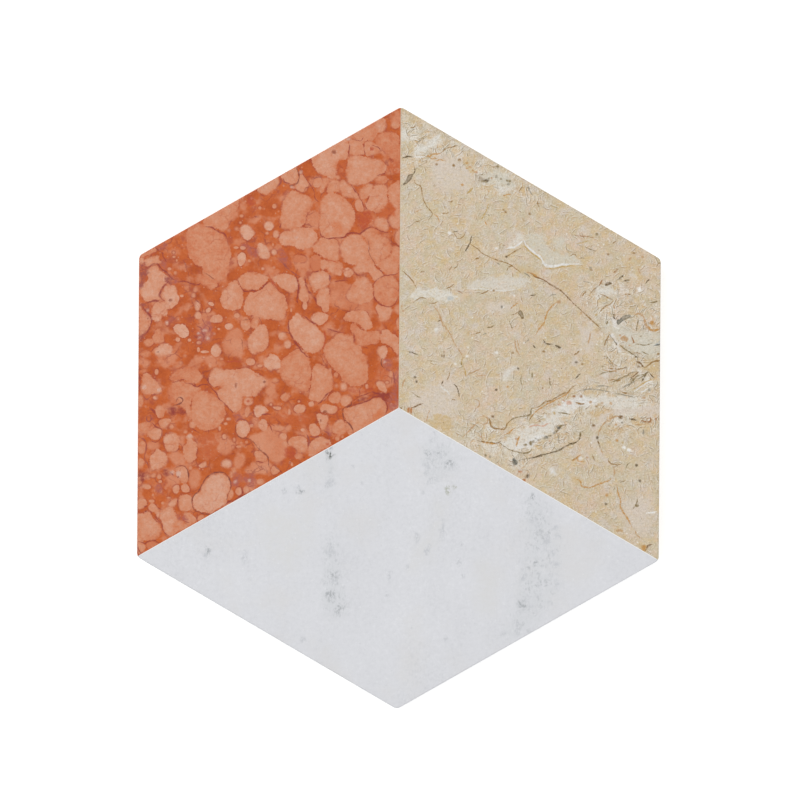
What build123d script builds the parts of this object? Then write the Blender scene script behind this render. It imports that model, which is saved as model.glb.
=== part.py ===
"""Hexagonal wall and floor tile: three marble rhombuses bonded edge to edge with resin.

The tile lies on its sawn back. The origin is in the middle of the back, +Z points out of the
honed face, and +Y runs from the middle to the corner where the cream and red stones meet.
"""

import math
import os

from build123d import *

# Driving dimensions, in millimetres
ACROSS_FLATS = 200.0  # between two opposite outer edges
THICKNESS = 10.0  # from the sawn back to the honed face
JOINT_WIDTH = 0.25  # of the resin film between two stones
CORNER_RADIUS = 2.5  # of the six outer corners, seen from above
ARRIS = 0.6  # bevel that eases the outer edges of the honed face

# The stones in their order round the tile, anticlockwise from +X as seen from above
STONES = ["cream_marble_rhombus", "red_marble_rhombus", "white_marble_rhombus"]

# Worked out from the values above
SPAN = 360 / len(STONES)  # degrees round the middle that each stone fills
HALF_SPAN = SPAN / 2  # degrees from a stone's outer corner to each of its joints
FIRST_CORNER = 90 - HALF_SPAN  # degrees from +X to the first stone's outer corner
SIDE = ACROSS_FLATS / math.sqrt(3)  # of the hexagon and of each rhombus
INNER_CORNER = JOINT_WIDTH / 2 / math.sin(math.radians(HALF_SPAN))  # distance from the middle
SHARE_SIDE = ACROSS_FLATS  # of the rhombus that cuts out one stone, longer than the stone
SHARE_ALONG = SHARE_SIDE * math.cos(math.radians(HALF_SPAN))
SHARE_ACROSS = SHARE_SIDE * math.sin(math.radians(HALF_SPAN))

# The whole tile seen from above, with two of its corners on the Y axis
with BuildSketch() as outline:
    RegularPolygon(radius=SIDE, side_count=2 * len(STONES), rotation=90)
    fillet(outline.vertices(), radius=CORNER_RADIUS)

# The whole tile in one piece, with the edges of its honed face eased
with BuildPart() as blank:
    extrude(outline.sketch, amount=THICKNESS)
    honed_face = blank.faces().sort_by(Axis.Z)[-1]
    chamfer(honed_face.edges(), length=ARRIS)


def cut_stone(name, turn):
    """One stone's share of the tile, half a joint short of the stones beside it."""
    with BuildPart() as stone:
        add(blank.part)
        with BuildSketch(Plane.XY.rotated((0, 0, turn))):
            with BuildLine():
                Polyline(
                    (INNER_CORNER, 0),
                    (INNER_CORNER + SHARE_ALONG, -SHARE_ACROSS),
                    (INNER_CORNER + 2 * SHARE_ALONG, 0),
                    (INNER_CORNER + SHARE_ALONG, SHARE_ACROSS),
                    close=True,
                )
            make_face()
        extrude(amount=THICKNESS, mode=Mode.INTERSECT)
    stone.part.label = name
    return stone.part


stones = [cut_stone(name, FIRST_CORNER + index * SPAN) for index, name in enumerate(STONES)]

# The resin fills what the stones leave of the tile: three films that meet in the middle
with BuildPart() as resin:
    add(blank.part)
    add(stones, mode=Mode.SUBTRACT)
resin.part.label = "joint_resin"

os.makedirs("parts", exist_ok=True)
for piece in [*stones, resin.part]:
    export_step(piece, f"parts/{piece.label}.step")
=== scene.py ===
import functools
import itertools
import math

import bpy
import numpy as np
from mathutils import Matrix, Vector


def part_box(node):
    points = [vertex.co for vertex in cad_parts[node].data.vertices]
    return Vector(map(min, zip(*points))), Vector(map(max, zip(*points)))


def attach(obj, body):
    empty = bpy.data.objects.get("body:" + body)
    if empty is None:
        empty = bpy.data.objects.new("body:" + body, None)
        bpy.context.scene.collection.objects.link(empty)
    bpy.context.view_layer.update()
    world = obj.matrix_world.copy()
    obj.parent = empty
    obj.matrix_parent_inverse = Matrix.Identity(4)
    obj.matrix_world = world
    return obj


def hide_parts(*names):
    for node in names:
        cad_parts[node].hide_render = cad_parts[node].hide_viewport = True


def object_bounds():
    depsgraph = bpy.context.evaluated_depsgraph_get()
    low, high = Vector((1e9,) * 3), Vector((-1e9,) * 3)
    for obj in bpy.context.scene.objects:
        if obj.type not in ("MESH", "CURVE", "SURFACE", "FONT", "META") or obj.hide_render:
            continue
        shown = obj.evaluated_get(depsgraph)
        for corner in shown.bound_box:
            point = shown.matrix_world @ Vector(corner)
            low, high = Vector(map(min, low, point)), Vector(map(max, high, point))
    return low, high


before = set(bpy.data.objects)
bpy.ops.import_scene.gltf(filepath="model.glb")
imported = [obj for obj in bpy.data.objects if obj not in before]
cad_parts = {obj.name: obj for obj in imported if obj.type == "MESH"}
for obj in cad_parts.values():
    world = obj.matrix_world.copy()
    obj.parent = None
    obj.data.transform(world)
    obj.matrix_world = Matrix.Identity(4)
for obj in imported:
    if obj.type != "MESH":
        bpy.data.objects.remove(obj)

# Sizes in millimetres, read from the frame
TO_MM = 1000.0
cad_low, cad_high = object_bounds()
ACROSS_FLATS = (cad_high.x - cad_low.x) * TO_MM
THICKNESS = (cad_high.z - cad_low.z) * TO_MM
APOTHEM = ACROSS_FLATS / 2
HALF_CORNER = math.radians(30)  # half the turn that the outline makes at a corner
SIDE = ACROSS_FLATS / math.sqrt(3)
CORNER_RADIUS = (SIDE - cad_high.y * TO_MM) / (1 / math.cos(HALF_CORNER) - 1)
JOINT_WIDTH = 2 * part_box("cream_marble_rhombus")[0].x * TO_MM
INNER_CORNER = JOINT_WIDTH / math.sqrt(3)  # from the middle of the tile to a stone's corner there
ARRIS = 0.6  # bevel of the outer edges, as in the solids

# Outer corner of each stone, in degrees from +X
TURNS = {"cream": 30.0, "red": 150.0, "white": 270.0}

# Mesh of a stone
FINE_CELLS = 270  # along each side of the honed face
COARSE_CELLS = FINE_CELLS // 3  # along each side of the sawn back
ARRIS_STEPS = [(0.62, 0.1), (0.3, 0.34), (0.09, 0.68), (0.0, 1.0)]  # inset and drop, in shares of the bevel
WALL_HEIGHTS = [0.93, 0.82, 0.68, 0.52, 0.36, 0.2, 0.08]  # of the plain wall, in shares of it
BACK_BREAK = 0.12  # inset and height of the broken edge round the back
RIM_STEP = 0.02  # least drop from the worn rim of the face to the ring below it
SMOOTH_BELOW = math.radians(35)  # faces that meet at less than this are shaded as one

# Where each side of a stone lies in its map for baking: lower and upper corner
TOP_MAP = np.array([(0.004, 0.204), (0.996, 0.996)])
WALL_MAP = np.array([(0.004, 0.004), (0.996, 0.096)])
BACK_MAP = np.array([(0.004, 0.104), (0.996, 0.196)])

# Wear of a honed face: depth of the dents and how far they reach from an edge, a joint or the pinhole
EDGE_DENTS = (0.34, 0.5)
JOINT_DENTS = (0.22, 0.35)
PINHOLE_DENT = (0.5, 0.4)
PINHOLE = np.array([0.75, 0.0])  # at the inner corner of the cream stone
DENT_LEVEL = 0.62  # of the noise, above which a dent begins

# Layers of smooth noise: strength, period and seed
LATTICE = 32  # cells of a noise before it repeats
DENT_NOISE = [(1.0, 1.7, 21), (0.6, 0.7, 22)]
STAIN_NOISE = [(0.9, 2.3, 31), (0.6, 1.0, 32)]  # how ragged the edge of a stain is
DRIFT_NOISE = [(0.25, 9.0, 11), (0.25, 9.0, 12)]  # of marks across and up, per millimetre of depth

# Outlines of blobs and stains
CURVE_STEPS = 4  # points in each span of a curve
CLOSING_SHARE = 1.1  # depth at which a lump has closed: this share of its radius
CLOSING_LEAST = 1.0  # and this much more
BLOB_REACH = 4.0
RAGGED_RADIUS = 4.0  # of a blob with a wholly ragged edge
LEAST_RAGGED = 0.2
STAIN_REACH = 1.5  # beyond the softness of its edge
STAIN_RADIUS = 1.5  # of a stain with a wholly ragged edge
SPOT_SOFTNESS = 0.34
ZONE_SOFTNESS = 3.5

# Lines
LANES = 4  # lines that may pass near one point
LANE_GAP = 2.4  # that lines in one lane keep, where there is room
LINE_REACH = 1.6
LINE_FULL = 0.7  # distance from a line within which it has its full weight
LINE_GONE = 1.2  # distance at which it has none
LINE_END = 0.5  # over which a line fades past its last point
LINE_TIP = 0.35  # width of a line's ends, as a share of its own
TIP_LENGTH = 1 / 6  # of the line, over which it narrows
FAR = 9.0  # distance across, where no line is near
NO_LINE = 0.1  # half width, where no line is near

# Colours of the marks, as displayed, 0 to 255
INKS = {
    "maroon": (140, 52, 44),
    "purple": (148, 72, 64),
    "plum": (168, 90, 78),
    "brick": (178, 74, 42),
    "ember": (190, 92, 46),
    "salmon": (200, 112, 68),
    "liver": (148, 80, 56),
    "soot": (124, 60, 48),
    "pale": (206, 166, 148),
    "umber": (120, 86, 42),
    "olive": (128, 108, 66),
    "dark": (92, 72, 40),
    "slate": (98, 96, 86),
    "taupe": (158, 142, 120),
    "brown": (146, 110, 58),
    "tan": (184, 148, 108),
    "orange": (186, 138, 76),
    "gold": (184, 154, 94),
    "rust": (174, 108, 52),
    "redbrown": (154, 108, 64),
    "pink": (200, 160, 136),
    "grey": (144, 136, 120),
    "bluegrey": (184, 186, 182),
    "white": (232, 231, 227),
    "chalk": (222, 221, 218),
    "cloud": (217, 213, 204),
    "sage": (204, 199, 184),
    "lens": (210, 204, 193),
    "blush": (209, 197, 184),
    "honey": (200, 174, 128),
    "stone_grey": (180, 174, 164),
    "dark_fleck": (92, 96, 90),
    "fleck": (172, 175, 178),
    "faint_fleck": (197, 199, 203),
    "olive_fleck": (180, 182, 172),
    "mist": (209, 211, 214),
    "warm_mist": (214, 214, 214),
}

# Marks of the stones, in millimetres from the middle of the tile

# Nodules of the red stone: tone from orange to pale, and outline
RED_NODULES = [
    (0.2, [(-34.5, 96), (-33.5, 92.5), (-31.5, 90), (-28, 88.3), (-25, 87.8), (-24.5, 91), (-24, 94),
        (-21, 95.5), (-20, 98), (-20.2, 102), (-22, 104), (-34.5, 97)]),
    (0.1, [(-19.8, 97.5), (-19.8, 102), (-18, 103), (-15, 102.8), (-14.3, 100), (-14, 97.5), (-17, 97)]),
    (0.0, [(-18.5, 103.3), (-19, 104.5), (-10, 110), (-9.5, 107), (-9.3, 104), (-11, 102.5), (-15, 103)]),
    (0.15, [(-10, 109.8), (-8, 111), (-6, 110.5), (-5.8, 108), (-7, 105.8), (-9, 105.6), (-10, 107)]),
    (-0.1, [(-9.5, 101), (-9.5, 104), (-7, 105.3), (-4, 105.5), (-1, 104.5), (-0.3, 101), (-0.3, 95.5),
        (-2, 94.3), (-4.5, 96), (-6, 98.5), (-8, 100)]),
    (0.1, [(-14, 101), (-12.5, 102), (-10.5, 101.5), (-8, 100), (-7.5, 99), (-9.5, 97.5), (-11, 96.8),
        (-13, 96.5), (-13.8, 98.5)]),
    (0.1, [(-20.7, 90), (-20.2, 94.5), (-18, 96.5), (-14, 96.4), (-11, 95.3), (-8, 95), (-6, 93.3),
        (-5.2, 92), (-6.5, 90), (-8.7, 88.4), (-11, 86.8), (-14.5, 85.6), (-19.5, 86)]),
    (0.0, [(-9, 88.3), (-6.5, 89), (-5, 88.2), (-5.3, 86.5), (-7.5, 85.8), (-9.5, 86.5)]),
    (0.05, [(-15.5, 83), (-14.5, 84.5), (-12.5, 85.8), (-10.5, 85.5), (-10.7, 83.5), (-12, 81),
        (-14, 79.7), (-15.4, 80.5)]),
    (0.05, [(-23.3, 84), (-23, 86.5), (-21.5, 87), (-19.5, 85.2), (-17.8, 84), (-16.2, 81.8),
        (-15.7, 80.3), (-17.5, 80.3), (-20, 80.5), (-22, 81.5)]),
    (0.0, [(-28, 84), (-27, 86.3), (-25, 87.3), (-23.7, 86.8), (-23.5, 84.5), (-23.3, 82.5), (-25, 82.8),
        (-27, 82.2), (-28.2, 82.6)]),
    (0.05, [(-30.6, 77), (-30.8, 71), (-30.5, 67.5), (-29.5, 65.6), (-26, 65.1), (-22, 65.6), (-20, 67),
        (-18.8, 68.8), (-17.6, 71.5), (-17.3, 75), (-19.5, 78.2), (-22, 80.6), (-24.5, 82), (-27.3, 82),
        (-29.5, 80)]),
    (0.1, [(-17.3, 78), (-16.5, 79.8), (-15.3, 79.7), (-14.6, 78), (-14, 76), (-15, 75.2),
        (-16.8, 75.7)]),
    (0.1, [(-13.5, 78), (-12, 80.5), (-10.7, 84), (-9.5, 85.3), (-7, 85.5), (-5.3, 84.7), (-5, 82),
        (-4.8, 79), (-6, 76.5), (-8.5, 75), (-11, 75.3), (-13, 76.5)]),
    (0.05, [(-4.5, 84.7), (-2.5, 86), (-0.3, 86.5), (-0.3, 76), (-2, 76.5), (-3.3, 78.2), (-4.5, 80)]),
    (0.1, [(-40, 83.5), (-40, 86), (-39, 88.5), (-37.5, 89), (-36.3, 87.5), (-35.2, 85.5), (-36, 83),
        (-38, 82.3)]),
    (0.05, [(-33.5, 86), (-32.8, 88), (-31, 88.7), (-30.2, 87.5), (-30.5, 85), (-32, 84), (-33.2, 84.8)]),
    (0.0, [(-30, 86.5), (-29, 88), (-27.5, 87.5), (-28.5, 85), (-29.5, 82.5), (-31, 82.7)]),
    (0.05, [(-33, 62), (-31.5, 63.5), (-30.5, 65), (-27, 64.5), (-25, 64.2), (-23.8, 63), (-23.5, 60),
        (-23.5, 57), (-25, 56), (-28, 57), (-30, 57.8), (-31, 59), (-33.3, 60)]),
    (0.1, [(-22.7, 60), (-22.3, 63), (-20.5, 65.5), (-18, 66.5), (-15.5, 66.2), (-13.5, 64.5),
        (-12.3, 62.5), (-11.8, 60), (-12, 57.5), (-13, 55.8), (-15.5, 54.7), (-18.5, 54.8), (-21, 56),
        (-22.3, 58)]),
    (0.0, [(-15, 67), (-12.5, 68.5), (-10.5, 68.5), (-8, 66.5), (-5, 65), (-3.6, 63), (-3.2, 60.5),
        (-4, 58.5), (-6, 57), (-8.5, 55.5), (-10.5, 56), (-11.7, 57.7), (-11.9, 60), (-12.5, 63),
        (-14, 65.3)]),
    (0.15, [(-10, 71), (-9, 72.7), (-7, 73.2), (-5.3, 72.3), (-4.5, 70.5), (-4.7, 68.5), (-6, 67.4),
        (-8, 68.5), (-9.7, 69.8)]),
    (0.1, [(-4.3, 72.5), (-3.5, 74), (-2, 75.5), (-0.3, 76), (-0.3, 69.7), (-2, 69), (-3.5, 70)]),
    (0.1, [(-1.8, 66.5), (-0.8, 68), (-0.3, 68.5), (-0.3, 62.8), (-1.2, 63.3), (-1.9, 64.5)]),
    (0.0, [(-3, 62), (-0.3, 61), (-0.3, 53), (-1.5, 51.5), (-4, 50.8), (-6, 52), (-8, 53.8), (-9.3, 55),
        (-7, 56.5), (-4.5, 58), (-3.3, 60)]),
    (0.15, [(-18, 53.2), (-16, 54.7), (-13.5, 55.8), (-11.5, 57), (-10, 55.3), (-9, 53.5), (-7, 52),
        (-6.5, 50.5), (-8, 49), (-10, 48.8), (-11, 50.3), (-12, 51.8), (-14, 51.8), (-16, 51.5)]),
    (0.15, [(-21.6, 52), (-21, 53.3), (-19.5, 53.6), (-18, 52.5), (-18, 51), (-19.5, 50.1), (-21, 50.5)]),
    (0.1, [(-31, 54.5), (-30, 56.5), (-28, 56.5), (-25, 55.8), (-23, 55.5), (-22, 53.5), (-22.5, 51),
        (-24.5, 50.8), (-26.5, 51.5), (-28.5, 53), (-30, 53)]),
    (0.2, [(-34, 51), (-31.5, 52.5), (-28.5, 52), (-27, 50.5), (-27, 48), (-28, 46.5), (-29, 45.5),
        (-31.3, 45), (-32.5, 44), (-33.5, 46), (-34.7, 49)]),
    (0.1, [(-31, 45), (-28.5, 46), (-27, 45), (-27, 41), (-27.2, 37.5), (-29, 36.5), (-30.2, 38.5),
        (-31.5, 39.5), (-32, 42)]),
    (0.05, [(-18.5, 46), (-17.3, 48.5), (-15.5, 49.8), (-13.5, 50), (-12, 49), (-10.8, 47.3), (-10.3, 45),
        (-10.3, 42), (-12, 40.5), (-15, 40), (-18, 40.5), (-20, 42), (-20, 44)]),
    (-0.05, [(-10, 46), (-9.3, 48.5), (-7.5, 50), (-5.5, 50.7), (-3, 50.6), (-1.5, 49), (-0.4, 47),
        (-0.4, 43), (-1.5, 40.5), (-3.5, 39), (-6, 39.3), (-8.5, 40.8), (-9.8, 43)]),
    (0.15, [(-8.5, 40), (-6.5, 39), (-3.8, 38.5), (-3, 37), (-3.5, 35), (-5, 33.5), (-7, 33.2), (-8, 35),
        (-9, 38)]),
    (0.1, [(-2, 38.5), (-0.3, 39.5), (-0.3, 36), (-1.5, 37)]),
    (0.15, [(-38.9, 49), (-37.5, 50), (-36.5, 48.5), (-36, 46), (-35, 43.5), (-35, 41), (-36.5, 40),
        (-38, 41), (-38.8, 43), (-38, 46)]),
    (-0.4, [(-34, 57.5), (-32, 58.5), (-30.5, 57.5), (-30.3, 54), (-31, 52.3), (-33, 52.2), (-34, 54)]),
    (-0.3, [(-40.5, 58), (-38, 58.3), (-36, 57.5), (-36, 56), (-38, 55.6), (-40.5, 55.5)]),
    (0.2, [(-42.6, 30.5), (-42, 33.2), (-40.5, 35.2), (-39, 36.3), (-37, 34.4), (-34.5, 32.8),
        (-32, 31.5), (-30.3, 29.5), (-28.9, 28), (-28.5, 26), (-29, 24.3), (-30.5, 22), (-32, 21),
        (-34, 20.9), (-36, 21.5), (-37.5, 23), (-39, 24.8), (-40.5, 26.5), (-41.8, 28.5)]),
    (0.25, [(-34, 33.8), (-32.5, 36), (-31, 36.7), (-28.8, 36), (-27.3, 35), (-27.8, 33.3), (-29.5, 32),
        (-30.8, 31.3), (-32, 32)]),
    (0.0, [(-29, 20.5), (-28.7, 23), (-27.5, 25), (-25.5, 26.5), (-24, 28.3), (-22, 28.5), (-20.5, 28),
        (-18.5, 27.8), (-17.5, 26), (-17.2, 24.5), (-15, 23.8), (-14.5, 22.5), (-14, 21), (-12.5, 19.8),
        (-12.3, 17.5), (-12, 15), (-11.8, 12), (-12.3, 10.3), (-14, 8.8), (-16, 8.1), (-18.5, 8.2),
        (-19.8, 9.3), (-21.5, 10.5), (-22.5, 12), (-24, 14), (-25.5, 15), (-26.5, 16.5), (-27.8, 18.3)]),
    (-0.1, [(-17.3, 27.5), (-18.5, 29.5), (-18.3, 31.8), (-17, 32.3), (-16, 31.3), (-15, 30), (-12, 29.2),
        (-9, 29.6), (-7.5, 29), (-7.7, 26), (-8.5, 24.8), (-11, 24.5), (-14, 24), (-16, 24.5)]),
    (0.05, [(-21.3, 34), (-20.5, 36), (-18.5, 37), (-16, 37), (-13.5, 37), (-12, 35.5), (-11, 33.5),
        (-10.5, 31.5), (-11.5, 30.2), (-13.5, 30), (-15, 31.5), (-16.2, 32.7), (-18.5, 33), (-20, 33)]),
    (0.1, [(-7.5, 27.5), (-6.5, 29.5), (-4.5, 30), (-2.5, 28.5), (-1, 27.3), (-0.3, 26.5), (-0.3, 20.5),
        (-1.8, 21.5), (-3, 23.5), (-5, 24.7), (-7, 25)]),
    (0.1, [(-1.3, 32.5), (-0.8, 34), (-0.3, 34.3), (-0.3, 30), (-0.9, 30.7)]),
    (0.2, [(-8.7, 21.5), (-7.5, 23.5), (-5.5, 24), (-4.5, 22), (-5, 20), (-6.5, 18), (-7.3, 19.5)]),
    (0.25, [(-8.8, 9.5), (-7.8, 10.3), (-6, 9.8), (-4.8, 7.5), (-4.8, 5.6), (-6.5, 6.3), (-8, 7.5)]),
    (0.15, [(-22.5, 8.5), (-21.5, 9.5), (-20.2, 9), (-20, 7.5), (-21, 6.5), (-22.2, 6.8)]),
    (0.05, [(-33.5, 12), (-32.5, 15.8), (-31, 16.5), (-28.5, 15.3), (-26, 13.5), (-25.3, 10), (-25.6, 7),
        (-27.5, 4.5), (-30, 2.2), (-32.5, 2.3), (-34.5, 3.5), (-34, 7)]),
    (0.0, [(-27, 3.5), (-26.3, 5), (-24.8, 6), (-23.3, 5.8), (-22.3, 4.5), (-22.5, 2.8), (-23.5, 1.7),
        (-25.5, 1.8), (-26.8, 2.5)]),
    (0.05, [(-22.4, 3), (-21.5, 4.5), (-19.5, 4.6), (-18.2, 4), (-18, 2.7), (-19.3, 1.3), (-20.5, 0.5),
        (-22, 1.3)]),
    (0.05, [(-21.1, -0.8), (-20, 0), (-17.6, 0.6), (-14.4, 1.8), (-12, 2.6), (-10, 3.6), (-8.4, 4),
        (-6.8, 3.8), (-5.6, 2.6), (-4.8, 1), (-4.8, -0.6), (-5.6, -2.8), (-12, -6.8), (-17.6, -9.9),
        (-17.6, -8.6), (-18.2, -7.2), (-19.4, -5.8), (-20.6, -4.6), (-21.1, -2.6)]),
    (0.1, [(-20, -6), (-19, -6.3), (-18, -7.8), (-17.8, -9.6), (-18.8, -10.3), (-19.8, -9.3),
        (-20, -7.5)]),
    (0.1, [(-25.6, -8.5), (-24.8, -6.5), (-23.5, -5), (-22, -4.6), (-21, -5.3), (-20.4, -6.3),
        (-20.3, -8.5), (-20.8, -10), (-22.5, -10.2), (-24.8, -9.7)]),
    (0.2, [(-31.3, -3), (-30.5, -2.2), (-29, -2.8), (-27.5, -3), (-27, -4.5), (-27.5, -6.5),
        (-28.5, -8.3), (-29.8, -8), (-30.6, -6)]),
    (0.2, [(-30.2, -0.5), (-29.3, 1), (-27.5, 1.3), (-25.5, 0.8), (-24, 0.5), (-23.5, -0.8), (-25, -2.5),
        (-26.3, -2.5), (-28, -1.7), (-29.7, -1.8)]),
    (0.05, [(-34.6, -17.5), (-34.5, -15), (-33.5, -13.2), (-31.5, -11.7), (-29.5, -11.1), (-27.5, -12),
        (-26.3, -13), (-26.5, -14.8), (-30, -16.8), (-33.5, -18.8)]),
    (0.2, [(-34.3, -7.5), (-33.5, -6.3), (-32, -6.3), (-30.8, -7.5), (-30.2, -9), (-30.8, -10.5),
        (-32.3, -11), (-33.7, -10.3), (-34.3, -9)]),
    (0.05, [(-42.3, -13), (-41.3, -11.7), (-39.5, -11.2), (-37, -11.3), (-35.5, -12.2), (-35, -14),
        (-35.1, -16), (-36.3, -17.2), (-38.5, -17.2), (-39.3, -15.7), (-41, -15), (-42.2, -14.5)]),
    (0.0, [(-40, -18.3), (-38.5, -17.6), (-37, -18), (-37, -19.3), (-38, -20), (-39.5, -19.5)]),
    (0.1, [(-55, -17), (-53.5, -16.8), (-52, -17.8), (-50.5, -18.8), (-50.5, -20.3), (-52.3, -21.1),
        (-54.3, -20.6), (-55, -19)]),
    (0.15, [(-48.5, -23), (-47.5, -22.5), (-46.3, -23.3), (-45.5, -24.3), (-46.5, -25.5), (-48, -26),
        (-48.7, -24.5)]),
    (0.2, [(-59.3, -31.5), (-58.3, -30.5), (-57.3, -31.3), (-57.5, -32.3), (-58.8, -33)]),
    (0.0, [(-75, 72.5), (-70, 76), (-65, 79), (-61.3, 80.5), (-62, 78), (-62.2, 76), (-63.5, 74),
        (-64.5, 72), (-65.5, 70), (-66.5, 68), (-68.5, 67.3), (-70.5, 68.5), (-73, 69), (-75, 69)]),
    (-0.1, [(-81.5, 67), (-81.7, 62), (-81, 58.4), (-79.4, 55.4), (-77.4, 53.8), (-76, 53.5), (-75.6, 51),
        (-76.2, 49), (-76, 47), (-74.3, 46.6), (-73, 45.3), (-71.5, 45.2), (-70, 46.2), (-69.5, 48),
        (-68, 49), (-66, 50.5), (-65.5, 53), (-65, 56), (-64.6, 58.5), (-65.4, 60.8), (-66.4, 63.2),
        (-67.4, 65.4), (-69, 66.8), (-71, 67.8), (-74.5, 69.2), (-78, 70.5)]),
    (0.15, [(-54.8, 83), (-53, 81.7), (-51.5, 81.2), (-50, 82), (-48.5, 83.2), (-46.8, 85), (-46.5, 87),
        (-47, 88.5), (-50, 87), (-54, 84.8)]),
    (0.1, [(-45.5, 88.5), (-45, 87), (-44, 86.2), (-41.5, 85.8), (-40.4, 86.2), (-39.4, 87), (-39.2, 89),
        (-39.8, 91.5), (-41, 92)]),
    (0.05, [(-43.2, 81.5), (-41, 83.2), (-38, 82), (-35.5, 81), (-34, 79.5), (-34, 76.5), (-36, 74),
        (-36.5, 71), (-38, 69.4), (-42, 68.4), (-45.5, 68.8), (-46, 72), (-45.6, 75.5), (-44.8, 78.8)]),
    (0.15, [(-46.5, 64), (-45.5, 66.7), (-42, 67.7), (-38, 68.7), (-34, 68.4), (-32, 67), (-31.6, 65),
        (-33, 62.5), (-35.5, 60.8), (-39, 60.5), (-41, 61.5), (-43, 62), (-45, 62)]),
    (0.35, [(-61.3, 68.5), (-59.5, 70), (-57.8, 69.2), (-56, 67), (-56, 66), (-57.5, 64), (-59, 63.8),
        (-60.5, 65.5)]),
    (0.35, [(-54.8, 60.5), (-54, 62.5), (-52.8, 62.7), (-51, 61.3), (-50, 59.5), (-50, 57.5),
        (-51.5, 56.7), (-53.5, 57.5), (-54.5, 59)]),
    (0.35, [(-62.3, 57.3), (-61.5, 58.7), (-60, 59), (-59, 57.8), (-59.2, 56), (-60, 54.6), (-61.3, 53.8),
        (-61.9, 55.3)]),
    (0.05, [(-62, 48.3), (-60.5, 50.5), (-58, 51.5), (-55, 51.3), (-52, 50.7), (-50.2, 50), (-50.3, 48.8),
        (-52, 47), (-53.5, 45.5), (-55, 44.9), (-57, 45), (-59, 45), (-60.7, 45.8)]),
    (0.2, [(-48.8, 49.3), (-46.5, 50.8), (-44, 51.3), (-41.5, 50.8), (-39.8, 49.5), (-39, 47.5),
        (-39.3, 45.5), (-41, 44), (-43, 44.4), (-45.5, 45.6), (-47.5, 47.7)]),
    (0.15, [(-68.5, 40), (-68.3, 42.5), (-67, 45), (-65, 47.5), (-62.8, 48.4), (-61.3, 46.5),
        (-60.3, 44.8), (-60, 42), (-60.2, 39.5), (-61.5, 37.3), (-64, 36.9), (-66.5, 37.5), (-68, 38.7)]),
    (0.1, [(-59.7, 38), (-59, 41), (-57.5, 43.5), (-55, 44.2), (-53, 45.2), (-51, 47.2), (-49.7, 47.7),
        (-48.5, 46.3), (-46.5, 44.8), (-44.5, 43), (-43.3, 40.5), (-43.2, 37.5), (-43.8, 35),
        (-45.5, 33.5), (-49, 33.6), (-53, 34.3), (-56, 35), (-58.5, 35.5)]),
    (0.2, [(-58, 24.5), (-57.5, 27), (-56, 29), (-55, 31), (-53, 31.7), (-51.2, 31), (-50.3, 28),
        (-50.2, 25), (-51, 22.5), (-53.5, 21), (-56, 20.4), (-57.5, 22)]),
    (0.1, [(-60.7, 32.5), (-59.5, 34.3), (-58, 34), (-57, 32), (-57.5, 30), (-59, 29.3), (-60.5, 30.5)]),
    (0.1, [(-56.8, 32.5), (-56, 34), (-54.5, 33.8), (-54, 32), (-55.5, 30.3), (-56.7, 30.7)]),
    (0.2, [(-72.7, 33), (-71.5, 34.8), (-69, 35.2), (-67.9, 34), (-68.2, 32.5), (-70.5, 32.2),
        (-72.3, 32.4)]),
    (0.4, [(-72.2, 21), (-71.3, 23.3), (-70, 23.9), (-68.6, 22.5), (-68.4, 20.8), (-69.5, 19.2),
        (-71, 19.3)]),
    (0.15, [(-73, 11), (-72, 13), (-70.5, 14.8), (-68.5, 14.3), (-66, 14.5), (-61.5, 14.3), (-58.5, 15),
        (-56, 13.8), (-54, 12.5), (-52, 11.5), (-50, 10), (-51, 8), (-53.5, 6), (-54.8, 4.3), (-58.5, 4),
        (-60, 3.5), (-60.3, 1), (-61, -1), (-63, -2), (-64.5, -1.3), (-65.5, 0), (-67, 1.5), (-69, 3.3),
        (-70, 5.4), (-68.5, 7), (-67.5, 8), (-70, 7.7), (-71.5, 8), (-72.8, 9.5)]),
    (-0.05, [(-79.6, -0.5), (-79, 3), (-77.3, 5.3), (-75, 6), (-72.5, 5.2), (-70, 3.6), (-68, 1.8),
        (-66.9, 0.4), (-66.5, -1.5), (-66.8, -4), (-67.7, -6), (-69.5, -7.7), (-72, -8.8), (-75, -9),
        (-77.5, -7.5), (-79, -4.5)]),
    (0.35, [(-52, 16.5), (-51, 18.5), (-49.3, 20.3), (-47.5, 20), (-46, 18.5), (-45, 17), (-45, 15),
        (-47, 14.8), (-49.5, 14.2), (-50.5, 15)]),
    (0.1, [(-59, -1.5), (-58.3, 0), (-57.2, -0.2), (-57.3, -2.5), (-58.3, -3.9), (-59, -3)]),
    (0.35, [(-55.5, -1), (-54.7, 0.5), (-53, 0.7), (-51, 0), (-50, -1.3), (-51, -2.5), (-52.5, -3),
        (-54, -4), (-55, -3)]),
    (0.2, [(-48.5, 0), (-47, 0.3), (-45.2, 0), (-45.5, -1), (-47, -1)]),
    (0.25, [(-62.3, -8), (-61.5, -5.8), (-60, -5.2), (-58.3, -5.7), (-57.2, -7.5), (-57.3, -9.5),
        (-58.5, -11.3), (-60, -11.8), (-61.7, -10.7)]),
    (0.2, [(-53.8, -6), (-52.3, -4.6), (-51, -5), (-50.3, -7), (-51, -8.8), (-52.3, -9), (-53.5, -7.8)]),
    (0.2, [(-40.2, -0.5), (-39, 1), (-36.5, 1), (-35.7, 0), (-36.5, -1.8), (-38.5, -2), (-39.8, -1.5)]),
    (0.1, [(-45.5, 4), (-43.5, 5.3), (-41.7, 4.5), (-42.5, 3), (-43.5, 2.3), (-45, 3)]),
    (-0.1, [(-46, 17), (-43, 20), (-40, 22), (-38, 22.5), (-35, 20), (-34, 16), (-33.8, 10), (-35, 6),
        (-38, 6.5), (-40, 7.5), (-43, 9), (-45, 11), (-46, 14)]),
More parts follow.
